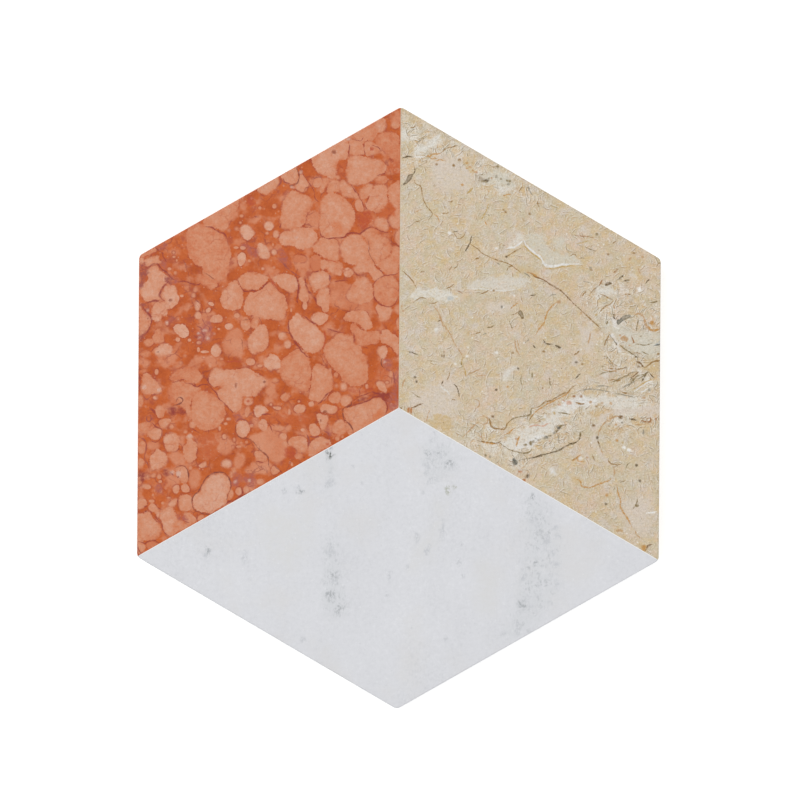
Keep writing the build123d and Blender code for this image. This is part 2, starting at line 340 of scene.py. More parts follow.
    (0.2, [(-97, 51.6), (-96.4, 52.6), (-94.4, 53.6), (-93, 53.4), (-91.8, 52), (-90.4, 50.8),
        (-89.2, 49.4), (-89, 48.2), (-90, 47), (-90.8, 46), (-91.2, 44.8), (-91.8, 43.6), (-91.6, 41),
        (-93.4, 40.8), (-96.4, 40.2), (-97.8, 40.6), (-99, 42), (-99.4, 44), (-99.4, 46), (-98.4, 47),
        (-97, 47.8), (-96.8, 49.2)]),
    (0.3, [(-89.8, 46), (-87.4, 46.4), (-86, 46), (-85.6, 44.4), (-85, 42.8), (-84.4, 41.4), (-85, 40),
        (-86.2, 38.4), (-87.8, 37.6), (-89, 36.8), (-89.4, 35.2), (-91, 34.4), (-92, 32.8), (-93.6, 32.6),
        (-94.8, 33.6), (-95.2, 35.2), (-95, 37.2), (-94.2, 38.4), (-93, 39.8), (-90.2, 40), (-89.6, 40.6),
        (-90.8, 41.6), (-91.2, 43.2), (-90.6, 44.4)]),
    (0.2, [(-97.6, 56), (-96.2, 56.8), (-93.8, 57.6), (-92.4, 57.6), (-92.2, 56.4), (-91.2, 55),
        (-93.8, 54.6), (-95.4, 54), (-97, 53.8), (-97.6, 54.6)]),
    (0.0, [(-99.2, 58), (-97, 59.2), (-94.6, 60.4), (-93.4, 60.6), (-93.6, 59.4), (-95.4, 58.4),
        (-97.4, 57.2), (-98.6, 57)]),
    (0.05, [(-99.8, 38), (-98.4, 37.2), (-97, 36), (-95.8, 34.8), (-95.2, 33.2), (-95.3, 31.5),
        (-96, 29.8), (-96.8, 28.4), (-98.4, 27.4), (-99.8, 26.2)]),
    (0.4, [(-86.6, 30.6), (-85, 31.6), (-82.6, 31.2), (-81, 29.4), (-80.8, 27.8), (-82, 26.4),
        (-83.4, 26.4), (-84.8, 27.4), (-86.2, 29)]),
    (0.35, [(-94.2, 21.2), (-93.6, 22.2), (-92.2, 23.2), (-90.2, 24), (-88.6, 24), (-87.8, 23.2),
        (-87, 22), (-87.2, 20.6), (-88.6, 19.6), (-90.6, 19.2), (-93, 19.6), (-93.8, 20.2)]),
    (0.0, [(-94.6, 26.2), (-94, 27.8), (-93, 29.4), (-92, 29.6), (-91.2, 27.8), (-90.2, 26.2),
        (-90.4, 24.8), (-91.8, 24.4), (-93.4, 24.2)]),
    (0.0, [(-98, 24.6), (-97, 25.6), (-95, 25.8), (-94.2, 24.6), (-95.4, 23), (-97.2, 23.2)]),
    (-0.1, [(-99.2, 20.2), (-98.2, 21.2), (-96.2, 21.2), (-95.4, 20.2), (-96.4, 18.8), (-98.2, 19)]),
    (0.05, [(-98.4, 11.4), (-97, 13), (-95.6, 12.4), (-94.6, 11), (-93, 9.4), (-91.4, 7.4), (-91, 6.2),
        (-91.8, 5), (-94.2, 4.6), (-96.6, 4.4), (-98.4, 5.4), (-99, 7.4), (-98.2, 9)]),
    (-0.1, [(-88.4, 5.4), (-87.8, 7.3), (-86.5, 9), (-84, 9.6), (-81, 9), (-78.5, 8), (-76, 7.2),
        (-77, 5.6), (-78.8, 3.6), (-79.8, 0), (-79.6, -4), (-80.5, -4), (-82, -1), (-84.5, 0.5),
        (-86, 1.3), (-87.5, 2.5)]),
    (-0.1, [(-88, 10.6), (-87, 12.2), (-85, 13.8), (-82.2, 15.2), (-80.2, 15), (-78.6, 15.4), (-77.4, 15),
        (-76.6, 13.4), (-75.4, 11.8), (-75.6, 10.6), (-77.4, 9), (-79.4, 9.4), (-81.8, 10.4),
        (-84.2, 10.4), (-86.2, 9.8)]),
    (0.2, [(-90, -12.5), (-89.3, -11), (-87.5, -10.2), (-85.5, -10.2), (-84.3, -11.3), (-84, -13.5),
        (-84.2, -15.5), (-85.3, -17), (-87, -17.3), (-88.8, -16.7), (-89.8, -15)]),
    (0.2, [(-96.5, -10), (-95, -9), (-93.5, -8.4), (-91.8, -8.5), (-90.7, -9.5), (-91, -11), (-92, -12.7),
        (-94, -12.8), (-95.8, -11.8)]),
    (0.1, [(-92, -6), (-90.5, -4.8), (-88.5, -4.6), (-87.3, -5.3), (-88.2, -6.8), (-89.8, -8.2),
        (-91, -8)]),
    (0.1, [(-93.2, -1), (-92.3, 0.3), (-90.3, 0), (-89.7, -2), (-90.3, -4), (-92, -4.3), (-93, -3)]),
    (0.0, [(-99.8, -7), (-98, -6.3), (-96, -6), (-95, -7), (-96, -9), (-96.8, -10.3), (-99, -9.8),
        (-99.8, -10)]),
    (0.1, [(-82.5, -15.5), (-81.5, -14), (-81.2, -11.5), (-80, -10.3), (-78.7, -11), (-79, -12.8),
        (-77.8, -14), (-77.2, -16), (-77.5, -18), (-77.8, -20), (-79.5, -21.5), (-81, -21),
        (-82.3, -18.5)]),
    (0.2, [(-95, -19), (-93.5, -17.5), (-92.5, -16.3), (-91, -16.7), (-89.5, -17.8), (-89, -19.5),
        (-88.7, -21.5), (-90, -23), (-92.5, -24.2), (-94.7, -24.2), (-95.3, -22)]),
    (0.25, [(-76.5, -22.5), (-75.3, -21.7), (-74, -21), (-73.7, -22.5), (-75, -23.4), (-76, -23.3)]),
    (0.35, [(-67.8, -21.5), (-67, -20.5), (-65.5, -20.3), (-64.2, -21), (-64.3, -22.5), (-65.5, -23.3),
        (-67.2, -23)]),
    (0.05, [(-85.5, -24), (-84, -23), (-82.3, -23), (-80.8, -24.2), (-80.4, -26), (-80.6, -28),
        (-81.5, -29.3), (-83, -29.5), (-84, -28), (-84.8, -26)]),
    (0.2, [(-83.2, -30.5), (-82.5, -29.9), (-81, -29.9), (-80.2, -30.8), (-80, -32.5), (-81.3, -33),
        (-82.8, -32.3)]),
    (0.25, [(-86.5, -31.5), (-85.5, -30.3), (-84.2, -30.2), (-84, -32), (-84.8, -33.4), (-86, -33)]),
    (0.15, [(-84.2, -36), (-83.5, -34.2), (-82, -33.6), (-80, -33.7), (-79.2, -35), (-79, -37.5),
        (-79.7, -39.3), (-81.5, -40.2), (-83.3, -39.5), (-84.1, -37.8)]),
    (0.3, [(-78.8, -35), (-77.6, -33.6), (-76, -32.4), (-75.2, -30.6), (-74, -28.6), (-72.4, -26.8),
        (-70.8, -25.8), (-68.4, -25.4), (-66.4, -26.2), (-65, -27.8), (-64.5, -29.6), (-64.6, -31.8),
        (-65.4, -33.6), (-65.6, -35.8), (-66.4, -37.4), (-68.4, -38.8), (-70.4, -40.1), (-72, -40.8),
        (-74.4, -40.5), (-76.8, -40), (-78, -38.8), (-78.6, -37)]),
    (0.1, [(-99.8, -36), (-98.5, -35.5), (-96.8, -35.7), (-96.3, -37), (-97, -38.5), (-98.3, -39.4),
        (-99.8, -39)]),
    (0.2, [(-88, -37.5), (-87, -36.3), (-85.8, -35.3), (-84.8, -35.3), (-85, -37), (-86, -38.3),
        (-87.5, -38.5)]),
    (0.1, [(-99.7, -15), (-98.3, -13.3), (-97.2, -14), (-96.8, -16), (-97.5, -18), (-99, -18.3),
        (-99.8, -17)]),
    (0.15, [(-99.8, -20.5), (-98.7, -20), (-97.3, -21.3), (-98, -22.5), (-98.7, -23.7), (-99.8, -23.5)]),
    (0.2, [(-91.5, -41.5), (-90.5, -39.7), (-88.5, -38.6), (-86.5, -39), (-85.3, -41), (-84.5, -43),
        (-82.5, -44.3), (-81, -45.5), (-82, -46.7), (-85, -48.5), (-87.5, -49.7), (-89, -48.5),
        (-90, -46.5), (-90.3, -44.8)]),
    (0.05, [(-99.8, -42), (-98, -41), (-96, -40.3), (-95, -41), (-94, -43), (-92, -44.3), (-91, -46),
        (-91, -48.5), (-92.5, -50.5), (-94.5, -51.3), (-97, -51.5), (-99.8, -51.8)]),
    (0.1, [(-95.8, -38.5), (-94.8, -37.3), (-93.5, -37.5), (-92, -39.3), (-91.5, -40), (-92.5, -41),
        (-93.5, -40.5), (-95, -40)]),
    (0.1, [(-82, -40.7), (-80.5, -40.7), (-78.8, -41.5), (-77.5, -42.8), (-77.3, -43.8), (-79, -45),
        (-80.3, -45.6), (-81.5, -44), (-82, -42.3)]),
    (0.1, [(-76.7, -42.5), (-75.8, -41.5), (-74.3, -41.7), (-75, -42.8), (-76.5, -43.5)]),
    (0.1, [(-65.2, -33.7), (-64.6, -32), (-63.7, -31.7), (-63, -33.3), (-63.8, -35), (-65, -35.7)]),
    (0.15, [(-62.5, -32), (-61.5, -30.9), (-60.3, -31.2), (-60, -33), (-61.2, -33.9), (-62.3, -33)]),
    (0.1, [(-99.8, -52.3), (-98.3, -52.6), (-97, -53.2), (-96.8, -54.5), (-98.3, -56), (-99.3, -56.5)]),
    (-0.2, [(-96.3, -52.8), (-95.3, -51.9), (-93.5, -51.8), (-92.3, -52.5), (-91.5, -53), (-94, -54.3),
        (-95.5, -54.8)]),
]

# Pebbles of the red stone: tone, place, width, height and tilt in degrees
RED_PEBBLES = [
    (0.15, -2, 108.3, 3.5, 2.5, 0), (0.05, -14, 103.3, 2.6, 2.6, 0), (0.15, -1.3, 91, 2.6, 2.2, 0),
    (0.2, -22.7, 91, 1.4, 1.4, 0), (0.2, -24, 88.2, 1.6, 1.6, 0), (0.2, -36.3, 39, 1.8, 3, 0),
    (0.2, -24, 8.3, 1.2, 1.2, 0), (0.1, -24.2, 12.5, 1.6, 2, 0), (0.2, -12.3, 8.2, 1.3, 1.9, 0),
    (0.2, -26.4, 14.3, 0.9, 1.8, 0), (0.25, -33.6, 1.3, 2.2, 2, 0), (0.35, -50.3, 69.4, 3.6, 3.6, 0),
    (0.2, -47.5, 66.2, 2.2, 3, 0), (0.3, -48.2, 59.3, 2, 2.2, 0), (0.2, -48.3, 77, 1.6, 1.8, 0),
    (0.15, -53.8, 76.3, 1.2, 1.2, 0), (0.2, -57, 80, 0.9, 1.2, 0), (0.3, -62.8, 61, 2, 0.9, 0),
    (0.3, -60.2, 61, 2.2, 1.5, 0), (0.1, -61.2, 70.6, 1, 1, 0), (0.1, -62.6, 68.3, 1.2, 1.2, 0),
    (0.1, -60.8, 73.2, 1.4, 1.2, 0), (0.2, -48.7, 62.2, 0.8, 1.1, 0), (0.1, -51, 66.6, 1.2, 1, 0),
    (0.15, -57.7, 56, 1.1, 1.1, 0), (0.2, -65.6, 67.5, 0.8, 1, 0), (0.1, -62.3, 35, 2.2, 2, 0),
    (0.35, -65.3, 30.8, 3.2, 2.4, 0), (0.3, -72.2, 39.4, 2.4, 1.4, -20), (0.3, -73.3, 37, 1.6, 2.2, -40),
    (0.2, -44.8, 27.2, 3.2, 3, 0), (0.3, -42.8, 24.1, 2.6, 3.2, 0), (0.2, -41.5, 37.2, 0.8, 1.6, 0),
    (0.2, -52.5, 53, 1.2, 1, 0), (0.2, -48.2, 53.5, 0.8, 0.8, 0), (0.15, -71, 28, 1, 1, 0),
    (0.2, -69.2, 29.8, 1.2, 0.8, 0), (0.3, -74.5, 21, 3.2, 1, 0), (0.25, -57, 17.3, 3.6, 2.8, 0),
    (0.1, -53.3, 15.8, 2, 1.2, 0), (0.2, -57.7, 2.1, 3.4, 3, 0), (0.1, -44.3, -11.2, 3, 2.7, 0),
    (0.1, -47.5, 10.3, 2.6, 1.6, 0), (0.1, -46.3, 13.8, 1, 1, 0), (0.3, -65.2, -4.7, 1.8, 1, 0),
    (0.25, -68.6, -8.3, 1, 1.8, 0), (0.15, -66.3, -6.5, 1.4, 1, 0), (0.3, -36.8, -8.6, 1.8, 1.3, 0),
    (0.2, -42, -1.8, 1, 2.4, 0), (0.2, -38.3, 2.3, 0.9, 0.9, 0), (0.15, -56.4, -7.1, 1.4, 1.4, 0),
    (0.15, -49, 1, 1, 1, 0), (0.1, -72.5, 16, 1.2, 1.6, 0), (0.1, -68, 18.3, 1.2, 0.8, 0),
    (0.2, -98.9, 55.7, 1.8, 2.6, 0), (0.2, -78.2, 44.8, 1.4, 1.8, -20), (0.2, -79, 42.6, 1.4, 1.8, 0),
    (0.25, -77.4, 38.6, 2.1, 3.8, 0), (0.3, -77.2, 34.9, 2.4, 2.8, 0), (0.25, -88.3, 52.7, 1.5, 1, 0),
    (0.15, -86, 51.2, 1, 1.2, 0), (0.15, -86.7, 59, 0.8, 0.8, 0), (0.15, -86.6, 57.3, 1.2, 0.8, 0),
    (0.15, -85.5, 56, 0.7, 1, 0), (0.1, -83.5, 42.4, 1.6, 1, 0), (0.1, -89, 31.7, 1, 1.4, 0),
    (0.3, -84.9, 25.7, 1.9, 1.7, 0), (0.2, -80.4, 25.5, 1.4, 1.2, 0), (0.2, -92.9, 13.2, 1.4, 2.2, 0),
    (0.1, -99, 2, 2, 4.4, 0), (0.25, -93.4, 3.3, 1.8, 1.4, 0), (0.3, -77, 21.8, 1.2, 2, 0),
    (0.2, -74.9, 18.9, 0.9, 0.7, 0), (0.2, -74.7, 29.2, 1.8, 1, 0), (0.15, -73.5, 27, 1, 2.6, -40),
    (0.15, -76.8, 24.5, 1.8, 1.3, 0), (0.1, -82.1, 19.4, 0.8, 0.8, 0), (0.1, -83.7, 16.8, 0.9, 0.9, 0),
    (0.1, -96.6, 16, 0.8, 0.8, 0), (0.25, -86.6, -25.4, 2.4, 1.8, 0), (0.2, -96.5, -30.8, 3.4, 1.8, -10),
    (0.15, -94.5, -36.3, 2.4, 1.2, 0), (0.05, -79, -7, 2.4, 2.6, 0), (0.15, -79.7, -23.6, 1.2, 1.4, 0),
    (0.1, -94, -26.7, 1.8, 1.2, 0), (0.15, -91.6, -27, 1.5, 1.8, 0), (0.1, -91.2, -28.8, 1.3, 1.1, 0),
    (0.15, -96, -27, 0.9, 1.5, 0), (0.1, -91, -32.5, 1.2, 1.6, 0), (0.1, -94, -34, 0.8, 1.2, 0),
    (0.1, -90.3, -37, 1.2, 1.2, 0), (0.1, -88, -35, 1.6, 0.7, 0), (0.1, -87, -7.8, 1.6, 1.4, 0),
    (0.1, -81.7, -9.8, 1.3, 1, 0), (0.1, -66.8, -11.4, 1.6, 2, 0), (0.1, -43.5, -14, 1.6, 1.6, 0),
    (0.05, -46, -8, 4, 2, 0), (0.2, -40.8, -21.9, 1, 1.6, 0), (0.1, -52.9, -28.6, 2.8, 2.4, 0),
    (0.05, -64, -26, 1.2, 2.4, 0), (0.15, -63, -24.3, 1.4, 2, 0), (0.15, -61.3, -15.2, 2, 1, 0),
    (0.1, -63.4, -15.5, 0.9, 1.3, 0), (0.1, -60.3, -13.8, 1.2, 0.9, 0), (0.05, -58.3, -13.5, 1.2, 1.2, 0),
    (0.1, -63, -12.5, 1, 1.6, 0), (0.05, -4.6, 9.8, 1.4, 0.9, 0), (0.15, -14.7, 3.2, 2, 1, 15),
    (0.1, -12.5, 4.3, 1.6, 0.8, 15), (0.2, -3, 1.3, 1.2, 1.4, 0), (0.15, -2, 0.1, 1, 0.9, 0),
    (0.3, -3.3, 13, 1.4, 2.4, 0), (0.1, -1.2, 12, 0.8, 2, 0), (0.0, -23.5, -12, 1.6, 1.4, 0),
    (0.05, -21.5, -11.2, 1, 1, 0), (0.3, -92, -41.5, 1.2, 2.3, 0),
]

# Pale ghosts in the red stone's ground: strength and outline
RED_GHOSTS = [
    (0.5, [(-26.8, 48), (-22, 48.6), (-18.5, 47), (-10.5, 46.5), (-10.3, 40), (-11.5, 36.5), (-16, 36),
        (-22, 38), (-26.5, 39.5)]),
    (0.6, [(-67.5, 25), (-65, 29), (-62, 30), (-60, 28), (-60, 24), (-60, 20), (-66, 19.5), (-67.5, 22)]),
    (0.9, [(-57.5, -11.5), (-55.5, -10.5), (-53, -9.7), (-50.5, -8.5), (-48.3, -6.8), (-46, -6.8),
        (-44.2, -7.5), (-41.4, -7), (-41.8, -9), (-43, -10), (-43, -13.3), (-42.7, -15.5), (-43, -18.5),
        (-44.3, -20), (-46.5, -21), (-49, -20.3), (-51, -18.3), (-53, -16.8), (-54.5, -15.3),
        (-55.5, -13.5)]),
    (0.8, [(-58.8, -24.3), (-57, -22.8), (-55.5, -21.3), (-53, -21.5), (-50.3, -20.8), (-49.7, -22.5),
        (-50, -25.3), (-53, -25.6), (-57, -25.4)]),
    (0.8, [(-63, -21), (-62, -19), (-60, -17.8), (-58.8, -19), (-59, -21), (-60.3, -23), (-62.3, -23.3)]),
    (0.7, [(-69.5, -16), (-68.5, -13.5), (-66.8, -11.2), (-65.5, -12.5), (-64, -14), (-64, -17),
        (-66, -18.3), (-68.5, -17.5)]),
    (0.6, [(-37, 75), (-34, 75.5), (-31, 74.5), (-31, 69), (-33, 68.5), (-36, 69.5)]),
    (0.6, [(-84.5, -11.5), (-82.5, -11.3), (-82, -13), (-82.5, -15), (-84.2, -14.5)]),
    (0.6, [(-87, -19), (-84, -18), (-82, -20), (-82.5, -22), (-86, -22)]),
    (0.6, [(-95.5, -13.5), (-92, -13.8), (-91.5, -15.5), (-94, -16.5), (-96.3, -15.5)]),
    (0.6, [(-80, -25), (-77.5, -24), (-76, -26), (-76.5, -30), (-79, -31.5), (-80, -29)]),
]

# Lines of the red stone: ink, half width and points
RED_LINES = [
    ("maroon", 0.4, [(-39.5, 92), (-38, 90.8), (-37, 88.7), (-35.8, 87), (-34.8, 85.5), (-33.7, 84),
        (-33, 82.5), (-32.7, 80), (-31.5, 79)]),
    ("purple", 0.5, [(-33, 87.7), (-31.5, 88.2), (-30.2, 88.3)]),
    ("maroon", 0.3, [(-40.3, 83.5), (-38.7, 82.6), (-37.3, 82.2), (-36.3, 84), (-35, 84.5)]),
    ("maroon", 0.25, [(-19.9, 97), (-19.6, 100), (-20, 101.5)]),
    ("maroon", 0.25, [(-18, 102.7), (-15.5, 102.3), (-14.3, 103.5)]),
    ("maroon", 0.25, [(-9, 89), (-7, 89.6), (-6, 89.7)]),
    ("maroon", 0.3, [(-19, 85.5), (-17.5, 83.2), (-16.3, 82), (-15.5, 80), (-14.7, 79), (-14, 77.5),
        (-12.8, 76.3)]),
    ("maroon", 0.2, [(-12, 81), (-13, 78.5)]),
    ("maroon", 0.2, [(-14, 101), (-14.2, 99), (-13.5, 97)]),
    ("maroon", 0.2, [(-11, 100.7), (-8.5, 99.7), (-7.7, 98.8)]),
    ("maroon", 0.35, [(-30.7, 67), (-30, 65.5), (-27.5, 64.7), (-24.5, 65.1), (-21.5, 65.3), (-20, 66.7),
        (-17, 67), (-15.5, 66.6), (-14.3, 67.5), (-12.5, 68.7), (-11, 69.2), (-9.5, 68.8), (-7, 67.6),
        (-4.8, 67.2)]),
    ("maroon", 0.35, [(-3.5, 64), (-2.5, 63.2), (-1, 62.2), (-0.2, 61.7)]),
    ("maroon", 0.2, [(-5, 72), (-4.5, 70.8), (-4, 69.8)]),
    ("brick", 0.3, [(-30.3, 58.2), (-28.5, 56.7), (-26, 56.2), (-24.5, 55.8)]),
    ("maroon", 0.2, [(-33.8, 52), (-32, 52), (-31, 52.3)]),
    ("purple", 0.4, [(-27.2, 51), (-26.7, 50), (-26.9, 48.5)]),
    ("maroon", 0.25, [(-24.7, 48.2), (-22.5, 48.7), (-20.2, 48.6)]),
    ("maroon", 0.3, [(-9.3, 54.7), (-8.3, 53.3), (-7, 52.2), (-5.7, 50.9), (-3, 51), (-1, 51.5)]),
    ("maroon", 0.25, [(-10.2, 47), (-9, 48.8), (-7, 50.2), (-5.5, 50.8)]),
    ("maroon", 0.3, [(-9.9, 45), (-9.8, 42.5), (-8.5, 40.5), (-6.5, 39.2), (-3.5, 38.8), (-1.7, 40),
        (-0.8, 42)]),
    ("maroon", 0.6, [(-36.3, 50), (-36, 47), (-34.8, 44.5), (-33.5, 43), (-32.3, 41.5), (-32, 39.5)]),
    ("maroon", 0.5, [(-40, 51), (-39.3, 49), (-38.7, 46.5), (-39, 43.5), (-39.3, 41), (-38.8, 39.5)]),
    ("maroon", 0.2, [(-17.5, 52), (-16.5, 51), (-15.2, 50.8)]),
    ("liver", 0.2, [(-12.3, 64.3), (-11.9, 62), (-11.9, 59.5), (-11.2, 57.8), (-10.2, 56.2),
        (-9.3, 54.9)]),
    ("maroon", 0.4, [(-42.3, 33.5), (-42.5, 31), (-42, 28.5), (-40.8, 26.5), (-39.7, 24.5), (-38.3, 23),
        (-37.5, 21.5), (-36.3, 20.5), (-35, 19.3), (-33.8, 19.3)]),
    ("maroon", 0.35, [(-36.5, 35), (-35.3, 34), (-34, 32.9), (-32.5, 32.3), (-31.3, 31.2)]),
    ("brick", 0.3, [(-29.2, 22.5), (-28.6, 24.5), (-28.5, 27), (-28.8, 29.5)]),
    ("maroon", 0.35, [(-27.5, 30.2), (-25.5, 29.6), (-23.5, 29), (-21.5, 28.7)]),
    ("maroon", 0.3, [(-17.5, 28.5), (-17.3, 26.5), (-17.4, 24.8)]),
    ("maroon", 0.3, [(-15.5, 24), (-13.5, 23.3), (-12, 22.8)]),
    ("soot", 0.3, [(-6.5, 19), (-7, 17.5), (-6.5, 16), (-5.7, 15.2)]),
    ("maroon", 0.35, [(-25, 6.5), (-27.3, 5.3), (-28.5, 4), (-29.5, 2.6), (-31, 1.2)]),
    ("soot", 0.4, [(-18.3, 2.3), (-18.2, 1), (-19.5, 0.4), (-21, -0.1), (-21.6, -1.2), (-21.4, -2.7),
        (-20.9, -4.5), (-19.8, -5.5), (-18.5, -6.7), (-17.8, -8), (-17.5, -9.8)]),
    ("maroon", 0.35, [(-18, 1), (-16, 1.4), (-13, 2.3), (-11, 3.2), (-9.3, 4.2), (-7.5, 4.3), (-6, 3.5),
        (-5, 2), (-4.4, 0), (-5, -2)]),
    ("maroon", 0.35, [(-17, 3), (-15, 4.5), (-13.5, 4.9), (-12, 5.5), (-10.5, 6.2), (-9, 5.7), (-7, 5.5),
        (-5, 5.3), (-3.5, 4.5), (-2.8, 3)]),
    ("purple", 0.3, [(-2.5, 14.5), (-1.8, 11), (-1.5, 9), (-0.8, 7.5)]),
    ("brick", 0.3, [(-24.5, 1.5), (-23.6, 0.5), (-23, -0.7), (-22, -0.3)]),
    ("purple", 0.45, [(-28.5, -9), (-27, -10), (-26.5, -12), (-25.8, -13.3)]),
    ("brick", 0.3, [(-25.2, -13.5), (-24.8, -12), (-24, -10.5)]),
    ("maroon", 0.4, [(-74.5, 69), (-72, 68.7), (-70.8, 67.7), (-69, 67), (-67.5, 66.3), (-66.5, 65),
        (-66, 63)]),
    ("maroon", 0.3, [(-54.5, 82.5), (-53, 81.3), (-52, 80.9)]),
    ("purple", 0.4, [(-47.2, 84.5), (-45.8, 86.3), (-46.3, 88)]),
    ("maroon", 0.3, [(-45, 87.5), (-44.3, 86.3), (-42.5, 85.7)]),
    ("soot", 0.35, [(-42.4, 84.8), (-40.3, 85.4), (-39.2, 86.5), (-38.8, 89), (-39.8, 91.5)]),
    ("maroon", 0.3, [(-46, 68.7), (-45.5, 70.5)]),
    ("maroon", 0.3, [(-62, 48.5), (-61.3, 46.8), (-60.3, 45), (-58.5, 44.2), (-56.5, 44.7), (-55, 44.3),
        (-53, 45.3), (-51.5, 47), (-50, 48.3), (-49, 49)]),
    ("liver", 0.25, [(-75.2, 51.3), (-73.8, 50.8), (-72, 49.5), (-71, 48.8)]),
    ("brick", 0.3, [(-50.2, 51), (-49.5, 49), (-48, 47), (-46, 45)]),
    ("purple", 0.5, [(-46, 56.5), (-44, 54.5), (-42.5, 52.8), (-40.5, 51.3), (-38.5, 50.3)]),
    ("liver", 0.2, [(-60, 33.2), (-57.5, 33.6), (-57, 34.3)]),
    ("liver", 0.2, [(-60, 22), (-60.2, 25), (-61, 26.5)]),
    ("maroon", 0.35, [(-82, 9), (-80, 8.8), (-78.5, 8), (-77.3, 7.5), (-76, 8.2), (-74, 8.6),
        (-72.5, 7.7), (-71.3, 6.5), (-70, 5.3), (-69, 3.2), (-67.5, 2), (-66, 0.3), (-64.5, -1.2),
        (-63.5, -2.2)]),
    ("maroon", 0.3, [(-52.5, -3), (-50.5, -2.6), (-49, -2.8)]),
    ("soot", 0.35, [(-62.5, -7), (-62.2, -10), (-60.5, -11.9), (-59, -12), (-57.5, -12.2), (-56, -13),
        (-55, -14.2), (-53.3, -16.3), (-51.8, -17.3), (-50.5, -18.5), (-49.8, -20), (-49.8, -22),
        (-48.8, -24.5)]),
    ("purple", 0.35, [(-62.4, -6), (-61, -4.7), (-59, -4.9), (-57.3, -6.3)]),
    ("maroon", 0.2, [(-55.5, 14), (-53.5, 14.2), (-52.2, 13.3), (-52.8, 12), (-54.5, 11.8)]),
    ("brick", 0.4, [(-67.5, 17.8), (-65, 17.3), (-62.5, 17.5), (-60, 17.3)]),
    ("maroon", 0.2, [(-50, -6), (-49, -8), (-48.3, -9.5)]),
    ("maroon", 0.35, [(-47.3, -22.7), (-46, -23.8), (-44.5, -25)]),
    ("maroon", 0.25, [(-52, -21.2), (-54.5, -20.8)]),
    ("liver", 0.25, [(-42.3, -11.5), (-42.7, -13), (-42, -14.5)]),
    ("purple", 0.45, [(-35.2, -10.5), (-34.5, -12), (-34.3, -13.5), (-34.8, -15.5)]),
    ("purple", 0.4, [(-34, -11), (-32, -11.5), (-30.5, -10.9)]),
    ("maroon", 0.45, [(-97.8, 53.5), (-96.5, 53), (-95, 54.2), (-93.8, 54.8), (-92.5, 54.3),
        (-91.8, 53.2), (-90.8, 52.3), (-89.8, 51.7), (-88.7, 50.5), (-87.5, 49.3), (-86.5, 48.7)]),
    ("maroon", 0.45, [(-93.3, 60.5), (-92.2, 59.3), (-91, 58.8), (-90.7, 57.5), (-90, 56.3),
        (-89.5, 55.5)]),
    ("maroon", 0.65, [(-88.5, 48), (-89.5, 46.8), (-90.8, 45.5), (-91.7, 44), (-91.9, 42.5), (-91, 41),
        (-90, 40.4)]),
    ("maroon", 0.5, [(-91, 40.2), (-94, 40.5), (-95.5, 40), (-97.5, 39.3)]),
    ("maroon", 0.55, [(-98.5, 38.5), (-97.3, 36.5), (-95.7, 35), (-95, 33), (-95.4, 31), (-96.3, 29),
        (-97.2, 27.8), (-98.5, 27.2), (-99.7, 26)]),
    ("brick", 0.35, [(-98.5, 57), (-96, 58), (-93.5, 59)]),
    ("maroon", 0.25, [(-80.5, 42.2), (-79.2, 41.7), (-78, 41), (-77, 40), (-75.8, 39), (-75.6, 36)]),
    ("maroon", 0.4, [(-85, 47.8), (-82.5, 48), (-80, 47.2), (-77.5, 46.6), (-76.5, 47.3)]),
    ("maroon", 0.25, [(-95, 21), (-93.8, 22.3), (-92, 23.3)]),
    ("purple", 0.3, [(-77.6, 31), (-76, 30), (-75.7, 28.3), (-74.7, 27.2), (-75.2, 25.6)]),
    ("purple", 0.25, [(-75.6, 33.6), (-74.4, 31.4), (-73, 30.6), (-72.6, 29)]),
    ("maroon", 0.25, [(-87, 9), (-85, 9.6), (-83.5, 10.2), (-82.3, 10.3)]),
    ("maroon", 0.4, [(-73, 11), (-73.3, 10), (-72.5, 8.8), (-71.5, 7.7)]),
    ("soot", 0.35, [(-85.3, 2), (-84.8, 3.2), (-83.7, 3.5), (-82.8, 2.6), (-83.3, 1.5), (-84.3, 0.9),
        (-85.5, 0.7), (-86.3, 0.3)]),
    ("purple", 0.3, [(-98, 4.8), (-97.5, 3.3), (-96.5, 2.5), (-94.5, 4.3), (-92.5, 4.8), (-91, 5)]),
    ("maroon", 0.5, [(-99.6, 12), (-99.3, 9), (-99.5, 6)]),
    ("maroon", 0.4, [(-95.5, -0.5), (-94.3, -1.5), (-93.4, -2.8)]),
    ("purple", 0.35, [(-96.5, -3.8), (-95.3, -3.5), (-94.8, -4.7), (-95.7, -6), (-96.6, -5.3),
        (-96.6, -4)]),
    ("maroon", 0.3, [(-94.5, -6.3), (-93.5, -7.5), (-92, -8.3), (-90.8, -9), (-90.9, -11), (-91.8, -12.9),
        (-93, -13.8), (-94.5, -13.3)]),
    ("purple", 0.4, [(-99.8, -12), (-98.3, -12.3), (-97, -13.3), (-96.6, -15), (-97, -17.5),
        (-97.3, -19.5), (-96.8, -20.7), (-96.2, -22), (-95.5, -24)]),
    ("soot", 0.3, [(-85.5, -23.5), (-84.3, -22.9), (-82.8, -22.7), (-81.5, -23.3), (-80.7, -24.7),
        (-80.4, -26.5), (-80.5, -28.3)]),
    ("purple", 0.3, [(-88, -25), (-87, -25.5), (-86.3, -26.5)]),
    ("soot", 0.32, [(-69, -39.5), (-70.3, -40.5), (-72, -41.2), (-74, -41.2), (-76, -40.6),
        (-77.8, -39.8), (-78.9, -38), (-79, -36), (-78.5, -34.3), (-77.3, -33.2), (-76.2, -32),
        (-75.5, -30.3), (-74.6, -28.7), (-73.7, -27.5), (-72.6, -26.3), (-71, -25.5), (-69.5, -25.1),
        (-67.5, -25.1), (-66, -25.8), (-65, -27.2), (-64.2, -29.3), (-64.3, -31.5), (-65.3, -33.5),
        (-65.7, -35.5)]),
